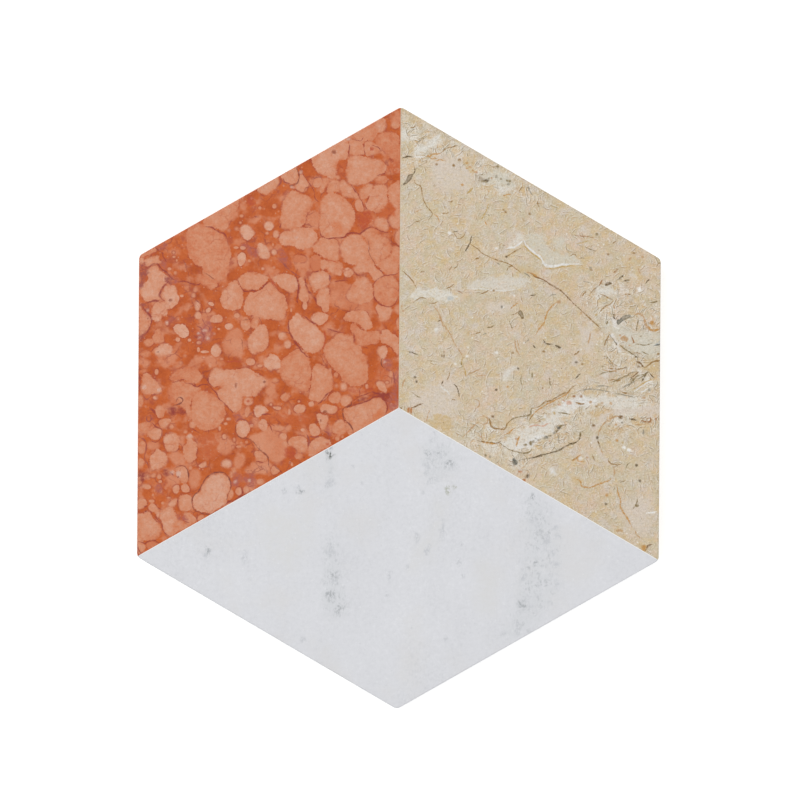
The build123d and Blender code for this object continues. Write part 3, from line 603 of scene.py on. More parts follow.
    ("maroon", 0.45, [(-79, -8.5), (-77.5, -9.5), (-76.3, -10)]),
    ("maroon", 0.3, [(-84.3, -35), (-84.6, -37), (-84.2, -38.7)]),
    ("maroon", 0.5, [(-66.5, -37.7), (-65, -36.4), (-63.4, -36), (-61, -34.6), (-58, -33.2)]),
    ("maroon", 0.3, [(-60, -31), (-59.7, -33.3)]),
    ("purple", 0.3, [(-57.5, -30.5), (-55.5, -30.2)]),
    ("maroon", 0.3, [(-95, -40), (-94, -41.5), (-92.5, -43), (-91.3, -44.3), (-90.4, -46), (-90, -47.5),
        (-89, -48.8), (-87.5, -49.8)]),
    ("maroon", 0.3, [(-92, -39), (-90.5, -39.5)]),
    ("maroon", 0.3, [(-97.5, -38.3), (-96.3, -38.3), (-95.8, -36.7)]),
    ("maroon", 0.3, [(-99.5, -52), (-97.8, -52.3), (-96.8, -52.8), (-96.2, -52), (-95, -51.6),
        (-93, -51.5), (-91.3, -52.5)]),
    ("maroon", 0.35, [(-99.6, -53), (-99.4, -55), (-98.5, -56.3)]),
    ("maroon", 0.3, [(-76.8, -41), (-77.1, -43)]),
    ("maroon", 0.25, [(-81.5, -44), (-80.2, -44.5)]),
    ("pale", 0.35, [(-85.2, -25.3), (-84.4, -25.6), (-83.6, -26.6)]),
]

# Soft stains of the red stone: ink, softness of the edge and outline
RED_STAINS = [
    ("plum", 1.0, [(-60.5, 62.5), (-57, 62), (-55, 60.5), (-55, 58), (-58, 58), (-59, 60)]),
    ("plum", 1.0, [(-47, 58), (-45, 60), (-43, 58), (-43.5, 55), (-46, 55)]),
    ("brick", 1.0, [(-59, 78.5), (-57.5, 80), (-56, 79), (-57, 77)]),
    ("plum", 1.0, [(-77.5, 29), (-76, 31), (-73, 33), (-71.5, 31), (-72, 28), (-74.5, 24.5), (-77, 25)]),
    ("plum", 1.0, [(-89, 34), (-87.5, 35), (-86, 33.5), (-87, 31.5), (-88.7, 32)]),
    ("plum", 0.8, [(-63, -4), (-61.5, -3), (-60, -4), (-61, -5.3), (-62.5, -5.3)]),
    ("plum", 0.8, [(-57.5, -4.5), (-56.5, -4), (-56, -6), (-57, -7)]),
    ("plum", 0.9, [(-91.5, 54.5), (-90, 55.3), (-89.3, 53), (-90.3, 52.3)]),
    ("plum", 0.9, [(-93.3, 61), (-91, 62.6), (-89.3, 61.5), (-90.5, 59.5), (-92.5, 59.7)]),
    ("purple", 0.7, [(-99.7, 53.5), (-98, 54.3), (-96.3, 52.8), (-96.4, 50.3), (-97.4, 48.6),
        (-98.4, 46.6), (-99.7, 45.5)]),
    ("purple", 0.7, [(-98.4, 38.7), (-96.8, 38.9), (-95.6, 37), (-96.4, 35.6), (-97.6, 36.6)]),
    ("purple", 0.7, [(-99.6, 28), (-97.8, 28.6), (-96.9, 27.6), (-98.3, 26.4), (-99.6, 26.2)]),
    ("purple", 0.7, [(-89, 50.6), (-87.2, 49.8), (-86.6, 47.4), (-88, 46.4), (-89.4, 47.6)]),
    ("plum", 0.9, [(-89, 49), (-87, 49.4), (-85.7, 47.7), (-87.5, 46.8)]),
    ("maroon", 0.9, [(-88, -0.2), (-85, 0), (-83, -0.8), (-82.7, -2.4), (-85, -3.7), (-87.8, -3.4)]),
    ("plum", 0.9, [(-5, 3.5), (-3, 5.5), (-2, 9), (-1.3, 13), (-0.3, 14.5), (-0.3, 0), (-3, -0.6),
        (-4.5, 0.5)]),
    ("maroon", 0.7, [(-18, 1.5), (-16, 3.8), (-13, 4.5), (-11, 5.2), (-9, 6), (-6, 5.8), (-3.5, 5),
        (-3, 3), (-4, 1.5), (-6.2, 3.9), (-8.5, 4.4), (-11, 3.3), (-14, 2.2), (-17, 1.2)]),
    ("plum", 0.8, [(-6.5, 17.5), (-4.5, 18.7), (-2.5, 18), (-2, 16), (-3.5, 15), (-5.5, 15)]),
    ("plum", 0.8, [(-28, -8.5), (-26.8, -8.2), (-26, -10.5), (-27, -11.5)]),
    ("maroon", 0.9, [(-99.7, -24), (-97.8, -24.3), (-96.5, -25.5), (-97, -28.5), (-99.7, -28.5)]),
    ("maroon", 0.9, [(-90, -24.5), (-88, -24.3), (-87, -26), (-89, -26.7)]),
    ("plum", 0.9, [(-93, -31), (-90, -31), (-89.5, -33.5), (-92, -33.5)]),
    ("plum", 0.8, [(-58.8, -25.8), (-55, -26), (-55.3, -29.5), (-57, -30.3), (-58.8, -29)]),
    ("plum", 0.8, [(-63.8, -26), (-60.5, -26), (-60.5, -29.3), (-62.5, -30.8), (-64, -29)]),
    ("brick", 0.7, [(-43.3, -16), (-41.5, -15.5), (-39.5, -16), (-39.7, -18.5), (-41.5, -20),
        (-43.5, -18.5)]),
    ("plum", 0.8, [(-84.3, -42), (-83, -40.9), (-81.3, -41.3), (-81.2, -42.7), (-82.5, -43.4),
        (-84, -43)]),
    ("ember", 1.0, [(-5, 92), (-3, 94.5), (-1, 94.5), (-0.3, 92), (-1, 89.5), (-3.5, 89.5)]),
    ("ember", 0.8, [(-9, 74), (-6, 76), (-4, 78), (-2.2, 75.5), (-4.5, 72.5)]),
    ("ember", 1.0, [(-24, 94), (-21, 94.5), (-20.7, 90), (-21.5, 87.5), (-24, 88)]),
    ("brick", 1.0, [(-16.5, 72), (-14, 75), (-11, 75), (-10.5, 72), (-12, 69.8), (-15, 69)]),
    ("ember", 1.0, [(-79.5, -10.5), (-76, -11), (-72, -10.5), (-70, -14), (-70, -19), (-73, -20.5),
        (-76.5, -19), (-76, -14)]),
    ("ember", 1.0, [(-52, -3.5), (-47, -2), (-43, -3), (-37, -3), (-33, -2.5), (-34.5, -5.5), (-40, -6),
        (-46, -5.5), (-50, -5)]),
    ("ember", 1.0, [(-12, 8), (-10, 12), (-7, 17), (-4, 12), (-5, 10.5), (-8.5, 10.8), (-9.5, 8)]),
    ("brick", 1.0, [(-20, 7), (-16, 7.3), (-13, 7), (-10.5, 8), (-10, 6.7), (-13.5, 5.6), (-18, 5.5)]),
    ("salmon", 1.2, [(-25.5, 70), (-23, 71), (-21.5, 69), (-23.5, 67.5)]),
    ("salmon", 1.2, [(-9, -3), (-7, -1), (-6, -2.7), (-12, -6), (-14, -6.5)]),
    ("salmon", 1.2, [(-86, -46), (-84, -44.5), (-82.5, -45.5), (-85, -47.5)]),
]

# Small spots of the red stone: ink, place, width and height
RED_SPOTS = [
    ("liver", -25.5, 97.5, 1.8, 1.4), ("brick", -11, 99.2, 1.4, 1.2), ("pale", -20.5, 103, 2.2, 1.6),
    ("pale", -38.2, 90.3, 1, 1.8), ("pale", -41.3, 84.3, 2, 1.2), ("liver", -11.7, 60.8, 0.5, 1.4),
    ("soot", -51.5, 9.7, 0.9, 0.8), ("liver", -62.5, 8, 0.6, 2), ("liver", -87.8, 40.6, 1.6, 0.8),
    ("soot", -92.6, 20.8, 1.2, 0.7), ("liver", -96.5, 33.7, 0.6, 0.6), ("pale", -97.6, 7.4, 1.2, 1.2),
    ("pale", -92, 6.4, 1.8, 1.8), ("pale", -84.3, -25.9, 1.4, 1.8), ("soot", -84.4, -27, 0.7, 0.5),
    ("pale", -57.1, -28.2, 0.8, 0.8), ("pale", -62.4, -28.7, 1.3, 1.1), ("soot", -96.7, -40.2, 0.7, 0.6),
    ("liver", -28.3, -1.6, 1.6, 1.1), ("liver", -30, -5, 0.8, 1.2), ("brick", -27.3, -14, 0.9, 0.9),
    ("pale", -5.7, 17.5, 0.9, 0.9), ("pale", -39.5, 65, 1.6, 1.4), ("brick", -57.7, 2.2, 1.2, 1.1),
    ("pale", -76.3, 26.5, 1.3, 0.9), ("pale", -74.6, 29.2, 1.5, 0.7), ("pale", -77, 28.1, 0.9, 0.8),
    ("pale", -73.6, 26.3, 0.9, 1.1), ("pale", -96.4, 36.8, 1.1, 1), ("pale", -89, 32.2, 1.1, 1),
    ("pale", -80, -11.3, 1.6, 1.4), ("liver", -41.6, -21.3, 0.6, 0.9), ("pale", -86.8, -25.2, 1, 0.8),
]

# Lines of the cream stone: ink, half width and points
CREAM_LINES = [
    ("dark", 0.25, [(5, 89.8), (5.5, 91), (5.2, 92.5)]),
    ("dark", 0.3, [(0.8, 95.8), (1.8, 96.2), (2.8, 96.4), (5, 96.2)]),
    ("white", 0.25, [(5, 96.2), (9.5, 96.3)]),
    ("orange", 0.32, [(9.5, 96.3), (10.5, 96.8), (11.3, 96.6), (12, 97.3), (14, 97.4), (15.3, 97.7)]),
    ("brown", 0.25, [(15.3, 97.7), (16, 98.3), (17, 99.3), (18.3, 99.9), (20, 100.2), (21.7, 100.8)]),
    ("orange", 0.25, [(11, 96.2), (12, 95.6), (13, 95.8), (14, 95.7)]),
    ("orange", 0.25, [(13.5, 94.8), (15, 95.2), (17, 94.9)]),
    ("cloud", 0.5, [(15, 104.5), (13, 102.5), (12, 101), (10, 99.8)]),
    ("grey", 0.2, [(6, 101.5), (7.5, 102.6), (9.5, 103.8)]),
    ("brown", 0.2, [(3.8, 107.5), (5, 107.6), (5.7, 108.5)]),
    ("gold", 0.5, [(25.5, 82.3), (27.7, 84.5)]),
    ("brown", 0.22, [(5.3, 87.2), (5.9, 86), (7.8, 85), (8.2, 83), (8.6, 81), (9.1, 79.3), (10.2, 77.2),
        (11.5, 75.8), (12.3, 74.4), (11.5, 73), (10.8, 72)]),
    ("orange", 0.22, [(13, 74.3), (14.5, 73), (15, 71.5)]),
    ("tan", 0.2, [(6, 75.3), (8.2, 76.3)]),
    ("gold", 0.28, [(31.2, 72.5), (32, 74), (33, 76), (33.8, 78.5)]),
    ("orange", 0.4, [(32.5, 71.5), (33, 70.5)]),
    ("brown", 0.22, [(18.5, 79.2), (20, 79.3)]),
    ("brown", 0.22, [(15.8, 74.8), (18, 74.8), (18.7, 75)]),
    ("brown", 0.2, [(5.5, 71.2), (7.5, 71.8)]),
    ("brown", 0.22, [(35.5, 92.5), (37, 92.8)]),
    ("dark", 0.25, [(20.5, 67.7), (22, 67.9)]),
    ("brown", 0.2, [(20.6, 67.5), (21.5, 65.8), (22.3, 65), (23.5, 65.4), (24.6, 66.5), (25, 67.5)]),
    ("dark", 0.35, [(27.4, 66), (27, 64), (26.3, 62.6), (25.5, 61), (24.7, 60)]),
    ("brown", 0.22, [(27, 63), (28, 62.3), (29.5, 61.5), (30.5, 60.3), (32, 59.3), (34, 58.2), (36, 57.4),
        (38.3, 56.6), (40.5, 56), (42.5, 55), (45, 53.3), (46.3, 52.3)]),
    ("grey", 0.25, [(47.5, 52.2), (49, 51.3), (50, 50.5)]),
    ("rust", 0.3, [(48.7, 52.3), (50.2, 51.9), (52.3, 50.7), (54, 50), (56, 49)]),
    ("umber", 0.25, [(49.3, 52.3), (51, 51.3), (52.3, 50.5), (54, 49.9), (56, 48.9), (58, 47.6),
        (60, 46.5), (62.4, 44.8), (65, 42.2), (67, 40.2), (69.5, 38)]),
    ("brown", 0.26, [(69.5, 38), (71, 36.6), (73.5, 34.3), (75, 33), (77, 31)]),
    ("orange", 0.35, [(50, 52.2), (51.5, 51.4), (52.6, 50.9)]),
    ("grey", 0.22, [(37, 56), (38.2, 55.2)]),
    ("brown", 0.35, [(29, 57.3), (30.2, 57.6)]),
    ("brown", 0.22, [(1, 52.5), (3, 50.8), (4.5, 49.3), (5.5, 47.8), (6.5, 45.8)]),
    ("brown", 0.22, [(5.3, 40.5), (7, 41.8), (9, 42.4), (10, 42)]),
    ("brown", 0.22, [(11.3, 40.2), (12.8, 40.2), (14.5, 40.8)]),
    ("tan", 0.2, [(12.5, 39.5), (14, 38), (15.3, 36), (16, 34), (16.5, 32), (17, 31)]),
    ("dark", 0.25, [(14.7, 33.4), (16, 33.7)]),
    ("redbrown", 0.3, [(22.3, 45), (24, 44.2)]),
    ("brown", 0.25, [(30.8, 43.8), (33, 44.7), (35, 45.9)]),
    ("brown", 0.22, [(19, 53), (19.8, 54.3)]),
    ("brown", 0.22, [(20.5, 53.2), (21.8, 54.4), (22.3, 55.4)]),
    ("brown", 0.22, [(18, 45.9), (19.5, 46.6), (20.7, 47.6)]),
    ("brown", 0.22, [(8, 52.1), (9.3, 52.5)]),
    ("olive", 0.22, [(33.5, 31), (35, 31.3), (36.7, 32)]),
    ("cloud", 0.3, [(27, 45.8), (30, 46), (34, 45.6), (38, 45.2), (42, 45.4), (46, 46.2)]),
    ("chalk", 0.4, [(41.3, 61.5), (43.3, 61.8), (45.4, 63.1), (46.7, 64.1)]),
    ("chalk", 0.6, [(47.6, 64.6), (48.3, 62.8), (50, 61), (52, 59.6), (54, 58), (54.8, 56.3), (56, 55),
        (58, 54.6), (60, 54.8), (62, 55.4), (65, 55.5), (68.5, 55.8)]),
    ("white", 0.4, [(45.5, 62.8), (46.8, 64.3)]),
    ("gold", 0.4, [(47.8, 62.3), (49.8, 60.2), (52, 58.6), (54, 57)]),
    ("gold", 0.4, [(56, 53.8), (59, 54), (62, 54.6), (66, 55)]),
    ("brown", 0.2, [(40.3, 58), (42, 59), (44, 60.3), (46.4, 61.6)]),
    ("brown", 0.2, [(41, 53), (41.5, 54.2), (42.5, 54.6)]),
    ("dark", 0.28, [(50.2, 43.5), (51.2, 43.6), (52.2, 44)]),
    ("grey", 0.25, [(57.5, 43.2), (58.5, 43.8), (60, 44)]),
    ("brown", 0.2, [(65, 58.5), (66, 59.2), (67, 59.3), (67.6, 58.6)]),
    ("olive", 0.25, [(71, 62.1), (72.5, 61.5), (74, 60.9), (75, 60.7)]),
    ("gold", 0.28, [(67.5, 63.4), (70, 63.9), (71.8, 64.6)]),
    ("redbrown", 0.2, [(66, 66.8), (68, 66.5), (71, 66.3), (74, 65.8)]),
    ("grey", 0.28, [(70.5, 49), (72, 48.7), (73, 48.5)]),
    ("brown", 0.2, [(75.3, 47), (74, 45.5), (72.7, 43.7)]),
    ("brown", 0.2, [(71.5, 45.5), (70, 43.3)]),
    ("dark", 0.35, [(82.3, 36.8), (82.1, 35.5), (82.7, 34.6)]),
    ("olive", 0.45, [(79.3, 32.7), (79.8, 33.8)]),
    ("dark", 0.38, [(86, 49.4), (88, 49.6)]),
    ("redbrown", 0.3, [(76.3, 47.5), (77, 48.5), (77.7, 49.7)]),
    ("tan", 0.6, [(90, 36.5), (91.5, 36.8), (93, 36.3), (93.8, 34.8), (94.3, 33), (95.3, 31.3),
        (96.5, 30.5), (98, 30.3), (100, 31.2)]),
    ("olive", 0.25, [(91.5, 34.5), (91.2, 32.5), (90.7, 30.3)]),
    ("redbrown", 0.25, [(89.3, 27.5), (89.7, 26.3), (89.5, 25.4)]),
    ("dark", 0.4, [(83, 25.6), (83.3, 24.6)]),
    ("olive", 0.2, [(84.5, 24.8), (86, 23.5), (87.8, 22.3), (91.2, 20.1)]),
    ("grey", 0.2, [(80.2, 29), (81.5, 27.3), (83, 25.3)]),
    ("dark", 0.45, [(90.2, 20.2), (91.4, 20.1)]),
    ("umber", 0.45, [(91, 18.5), (92.5, 17.7), (93.5, 16.5)]),
    ("brown", 0.5, [(94, 16.2), (95.5, 17.2), (97, 18.2), (98.5, 18.7), (100, 19)]),
    ("brown", 0.4, [(98.8, 21.3), (99.8, 21.3)]),
    ("bluegrey", 0.6, [(97.5, 24.5), (99, 25.5), (100, 26.2)]),
    ("brown", 0.25, [(80.2, 28.5), (79.3, 26.5), (78.5, 24.5)]),
    ("tan", 0.35, [(73.2, 29.5), (72.8, 27), (72.2, 25)]),
    ("brown", 0.25, [(81.8, 41.5), (80.5, 40.3), (78.5, 39.2), (76.5, 37)]),
    ("tan", 0.3, [(82, 40), (82.5, 38.5)]),
    ("brown", 0.25, [(76.7, 44.2), (78.5, 43.6), (80, 42.7), (81.5, 42)]),
    ("dark", 0.32, [(94.3, 48.5), (94.9, 49.5), (95.7, 49.9)]),
    ("olive", 0.38, [(96, 41.1), (97.5, 41.2), (98.7, 41.6)]),
    ("brown", 0.28, [(86, 44.2), (88.5, 44.2)]),
    ("dark", 0.35, [(67.7, 11.8), (68.5, 12.8), (69.4, 13.6)]),
    ("umber", 0.2, [(88.5, 12.1), (90, 13), (91.7, 14.5)]),
    ("olive", 0.25, [(88.7, 10.5), (90.3, 12), (92, 13.2), (94, 13.6), (95.6, 14.6)]),
    ("dark", 0.25, [(92.9, 10.8), (94.2, 12.9), (95.1, 14.6)]),
    ("dark", 0.2, [(95.8, 14.4), (96.7, 13.2), (97.7, 12.2)]),
    ("olive", 0.18, [(90.9, 11.1), (93, 12.6), (95.1, 13.8)]),
    ("gold", 0.22, [(89.1, 7.4), (91.5, 8.8), (93.7, 10.2), (97.4, 12)]),
    ("chalk", 0.25, [(91.8, 6.5), (93.8, 7.2), (95.5, 8.3)]),
    ("chalk", 0.25, [(90, 6.9), (92.6, 8.6), (95, 10.4), (96.8, 11)]),
    ("brown", 0.18, [(89.1, 21.7), (91.8, 21.7), (93.2, 20.8)]),
    ("olive", 0.15, [(90.5, 24.9), (92.2, 25), (93.7, 24.7)]),
    ("orange", 0.45, [(95.3, 31.8), (96.5, 30.8), (98, 30.5), (100, 31.2)]),
    ("slate", 0.3, [(97.8, 24.6), (99, 25), (100, 25.2)]),
    ("brown", 0.28, [(80.2, 15.8), (83, 15.5), (85, 15.6), (86.5, 16.1)]),
    ("tan", 0.25, [(78, 15.2), (81, 14.6), (84, 14.9)]),
    ("brown", 0.25, [(80.5, 11.2), (82.5, 11.5), (83.5, 11), (85.5, 11.7)]),
    ("grey", 0.2, [(80, 18.5), (81.5, 16.8)]),
    ("brown", 0.33, [(67.5, 9), (66.3, 8.3), (65.2, 7.2), (64.5, 6.3), (63, 6), (61.5, 5.2), (60, 4.3),
        (58, 3.2), (56, 2.8), (54.5, 1.5), (52.5, 0.5), (51, 0.3)]),
    ("olive", 0.3, [(51, 0.3), (50.6, -0.6), (50.5, -1.8), (49.8, -2.4), (48, -2.8), (46, -3.1),
        (44, -3.7), (42.5, -4.7)]),
    ("brown", 0.4, [(42.5, -4.7), (41.5, -5.8), (41, -7), (40.3, -7.9), (38, -7.7), (36.3, -7.4),
        (35.2, -6.2), (34.8, -4.6), (34.5, -3.5)]),
    ("brown", 0.3, [(50, -4.3), (51, -3), (51.5, -2)]),
    ("orange", 0.35, [(40.5, -10), (42, -9.3), (43.3, -8.2), (44.5, -7.2)]),
    ("pink", 0.3, [(49.8, -7), (51, -6.5), (53, -6.2), (55.5, -6.5), (56.5, -5.7), (58, -5.5)]),
    ("dark", 0.4, [(60.3, -9), (61.3, -7.5), (62.5, -6.3), (64.3, -6)]),
    ("orange", 0.4, [(45, -14.5), (45.5, -12.7), (45.8, -11.5), (46.3, -10.5)]),
    ("umber", 0.35, [(30, -12.3), (33.5, -12.8), (35.5, -13), (37.5, -13.3), (39, -12.5)]),
    ("olive", 0.28, [(61.2, -1.4), (63, -1.5), (65.5, -2)]),
    ("brown", 0.35, [(67.7, 2.6), (69.3, 2.2), (71, 2)]),
    ("tan", 0.3, [(44.3, 26.5), (44.5, 24), (45.2, 22), (46.3, 20.5)]),
    ("tan", 0.25, [(45, 26.5), (45.5, 24.5), (46.2, 22.5)]),
    ("olive", 0.2, [(57.5, 12.3), (57.8, 10), (57.8, 8.5)]),
    ("olive", 0.22, [(51, 14), (51, 12)]),
    ("olive", 0.2, [(47, 9), (46.5, 11), (47, 13)]),
    ("tan", 0.3, [(31, -3.2), (32.5, -2.9), (33.8, -3.5), (34, -5), (33, -6), (31.5, -5.7)]),
    ("tan", 0.4, [(84.8, -2.8), (83, -2.7), (81, -3.5), (79.3, -4.7), (78, -6.2), (77, -8), (76.4, -10)]),
    ("umber", 0.28, [(76.2, -12), (76.8, -13.3), (77.2, -14.7)]),
    ("tan", 0.3, [(77.5, -15.5), (78.3, -17.3)]),
    ("brown", 0.32, [(80.3, -19.5), (81.3, -20.7), (83, -21), (85, -21)]),
    ("dark", 0.5, [(88.3, -3.6), (89.5, -3.8), (91, -4)]),
    ("redbrown", 0.5, [(93, -4.3), (95, -4.6), (96.5, -4.3), (96.3, -3.3), (95, -3.5)]),
    ("tan", 0.28, [(90.7, -5.8), (93, -5.6), (95.5, -5.3)]),
    ("grey", 0.35, [(93.7, -7.5), (93.7, -9.7)]),
    ("olive", 0.4, [(69.6, -8.8), (69.6, -10), (69.3, -11.5)]),
    ("olive", 0.25, [(65, -12.7), (66.5, -13.5), (68, -12.5)]),
    ("brown", 0.3, [(66.5, -19.5), (68, -18.7), (69.5, -17.5)]),
    ("orange", 0.35, [(68.5, -19.2), (69.5, -20), (71, -19.8)]),
    ("brown", 0.32, [(74.3, -17.5), (75.2, -19.5)]),
    ("orange", 0.35, [(68.3, -26.8), (69.5, -27.3), (70, -28.8), (71, -29.7), (73, -29.9), (75, -29.5),
        (76.5, -28.7), (78.5, -28), (80.5, -27.3), (81.5, -26.6)]),
    ("tan", 0.28, [(82.5, -22), (82.8, -24), (82.5, -25.5)]),
    ("orange", 0.33, [(83.7, -28.8), (84, -31), (84.6, -33.2), (85.2, -34.8), (84.9, -36.6), (85.5, -38),
        (86.7, -40), (88, -42), (89, -43.8), (89.5, -45)]),
    ("tan", 0.3, [(90.8, -46.5), (91.5, -48), (93, -49.2)]),
    ("umber", 0.35, [(94.5, -54.3), (95.2, -53.3), (95.9, -52.1), (97.5, -51.5)]),
    ("olive", 0.25, [(85, -28), (86.8, -27.2)]),
    ("olive", 0.2, [(87, -23), (87.7, -21), (88.7, -20.3)]),
    ("olive", 0.2, [(90, -38), (91, -36.5), (91.8, -34)]),
    ("white", 0.28, [(95, -39.7), (99, -39)]),
    ("dark", 0.28, [(3.7, 21.5), (4.8, 21.3), (6, 20.8), (7.3, 20.3)]),
    ("tan", 0.25, [(22.5, 23), (23.3, 21.8), (24, 20.6), (24.4, 19.3)]),
    ("olive", 0.25, [(23.8, 17.8), (23.8, 16.6)]),
    ("tan", 0.3, [(25.2, 14.3), (25.4, 12.7)]),
    ("brown", 0.2, [(27.2, 13.6), (28.5, 13.8), (29.5, 14.5)]),
    ("tan", 0.22, [(29.5, 12.3), (31, 12.7), (33, 12.8)]),
    ("brown", 0.25, [(19.4, 13.7), (19, 12.3), (18.3, 10.8)]),
    ("dark", 0.4, [(16.8, 10.3), (16.2, 9.2)]),
    ("cloud", 0.35, [(15.7, 9.2), (16.3, 8), (17.5, 7), (18.7, 6.3), (19.3, 5)]),
    ("dark", 0.25, [(20.9, 9.2), (21.8, 8.6), (22.5, 7.3), (22.9, 5.8), (23.1, 4.5)]),
    ("brown", 0.32, [(20.3, 3.5), (21.5, 3.2)]),
    ("tan", 0.4, [(2.3, 11.3), (1.7, 10), (1.2, 8)]),
    ("rust", 0.5, [(4.7, -2.3), (4.6, -1), (4.7, 0.3)]),
    ("umber", 0.32, [(4.8, 0.2), (6, 0.4), (7, 1.1), (8.2, 1.5), (9, 1.7)]),
    ("tan", 0.25, [(11.7, -1), (11, -3), (10.6, -5)]),
    ("olive", 0.2, [(5, 6), (7, 4.5), (8, 4.2)]),
    ("brown", 0.2, [(28.3, 28.5), (30, 29), (31, 29.3)]),
    ("grey", 0.2, [(32, 28.3), (33.3, 29)]),
    ("tan", 0.22, [(29, 3.5), (30.3, 3.3), (31, 2), (30.3, 0.7), (29.3, 0)]),
    ("brown", 0.2, [(43, 36), (44.3, 36.3), (45.3, 37.1)]),
    ("orange", 0.3, [(42.5, 38.3), (43.7, 39.5), (45.3, 40.5)]),
    ("orange", 0.35, [(60.5, 41), (59, 40.2), (58, 39), (57, 37.7), (56.2, 36), (55.7, 34), (55.2, 32.7),
        (54, 31.3), (53, 30), (52.3, 28.5)]),
    ("dark", 0.32, [(55.2, 26.3), (56, 25.3), (57.3, 24.9), (58.7, 24.8)]),
    ("dark", 0.6, [(59.8, 24.4), (61, 23.8), (62, 23.4)]),
    ("dark", 0.5, [(51.3, 24.3), (52, 23.5)]),
    ("grey", 0.28, [(48.2, 25.4), (49.6, 26.6)]),
    ("olive", 0.2, [(42, 33.7), (43.3, 30.7)]),
    ("brown", 0.28, [(67, 21), (68, 21.5), (69, 22.3)]),
    ("grey", 0.22, [(69, 7), (72, 7.7), (75, 7.6), (78, 7.3), (80.5, 6.8)]),
    ("grey", 0.2, [(75.5, 8.8), (78, 9), (81, 8.6)]),
    ("grey", 0.28, [(83, 6.2), (85, 5.8), (88, 5.2), (90, 4.8)]),
    ("brown", 0.28, [(85.5, 6.5), (87.5, 6.3)]),
    ("brown", 0.3, [(81.5, 63.7), (82.7, 64.5)]),
    ("brown", 0.32, [(89, 60), (90.2, 60)]),
    ("tan", 0.45, [(87.5, 57.3), (88.7, 58.3)]),
    ("tan", 0.4, [(91.5, 54), (92, 52.2)]),
    ("redbrown", 0.35, [(82, 52.5), (83.5, 53.7)]),
    ("dark", 0.38, [(83.8, 50.1), (85, 50.8), (85.6, 51.5)]),
    ("brown", 0.28, [(98.5, 55), (99, 56.2), (99.9, 56)]),
    ("dark", 0.3, [(47.6, -19.3), (50.2, -18.9), (54, -17.9), (57.4, -17), (61.2, -15.9), (63.5, -14.4),
        (66.2, -13.2), (68.8, -12.1), (69.6, -9.8)]),
    ("dark", 0.6, [(52.3, -18.6), (54, -17.9), (55.3, -17.4)]),
    ("olive", 0.35, [(45.4, -16.5), (47, -16.9), (49, -16.9), (50.6, -16), (50.8, -15.2)]),
    ("olive", 0.25, [(39, -13.2), (41, -14.8), (43, -15.8), (45.4, -16.5)]),
    ("orange", 0.4, [(32.3, -12.9), (34.5, -13.2), (37.5, -13.6)]),
    ("tan", 0.3, [(24.5, -11), (26.5, -9), (28, -7.5), (29.5, -5.8), (30.5, -5.2)]),
    ("brown", 0.25, [(48.5, -26.7), (49.2, -25.3), (49.7, -24.2)]),
    ("grey", 0.3, [(61, -9.6), (61.3, -11.5), (61.5, -13)]),
    ("orange", 0.4, [(66.8, -19.6), (68.6, -18.5), (69.8, -17.4)]),
    ("brown", 0.22, [(45.5, 83.5), (46.3, 84.6), (47.3, 84.7)]),
    ("grey", 0.3, [(49, 85.2), (49.5, 83.5), (50.6, 82)]),
    ("brown", 0.25, [(52.6, 79.5), (52.8, 78)]),
    ("orange", 0.3, [(39.5, 81.5), (41, 82.1), (42.3, 82.3)]),
    ("orange", 0.3, [(50.6, -2.8), (53, -0.6), (56.5, 1.7), (60, 3.6), (63.5, 5.3), (65.5, 6.8)]),
    ("tan", 0.25, [(14.4, 37.5), (16, 33.5), (19.5, 28.5), (20.3, 26.5), (22, 23.5)]),
    ("gold", 0.2, [(24.3, 19.5), (24, 17.5), (25.3, 14.5), (25.6, 12.2)]),
    ("tan", 0.25, [(25.8, 12.6), (28.5, 14), (31, 15.4)]),
    ("olive", 0.2, [(76.5, 13.2), (79, 14.3), (82, 14.5)]),
    ("olive", 0.2, [(79.3, 20.5), (80.6, 18.8), (81.8, 17.2)]),
    ("olive", 0.22, [(81.5, 10.5), (84, 11.6), (87, 13), (89.5, 14.6)]),
    ("olive", 0.16, [(87.6, 8.6), (90, 11.4), (91.4, 13.3)]),
    ("olive", 0.2, [(88.6, 11.6), (90.2, 12.2)]),
    ("grey", 0.25, [(85, 8), (88, 9.6), (90.5, 11)]),
    ("olive", 0.2, [(91, 25.3), (94, 24.8), (97, 25.6)]),
    ("olive", 0.2, [(93, 22.3), (95.6, 21)]),
    ("redbrown", 0.25, [(89, 28), (89.6, 26.2), (90.2, 25.8)]),
]

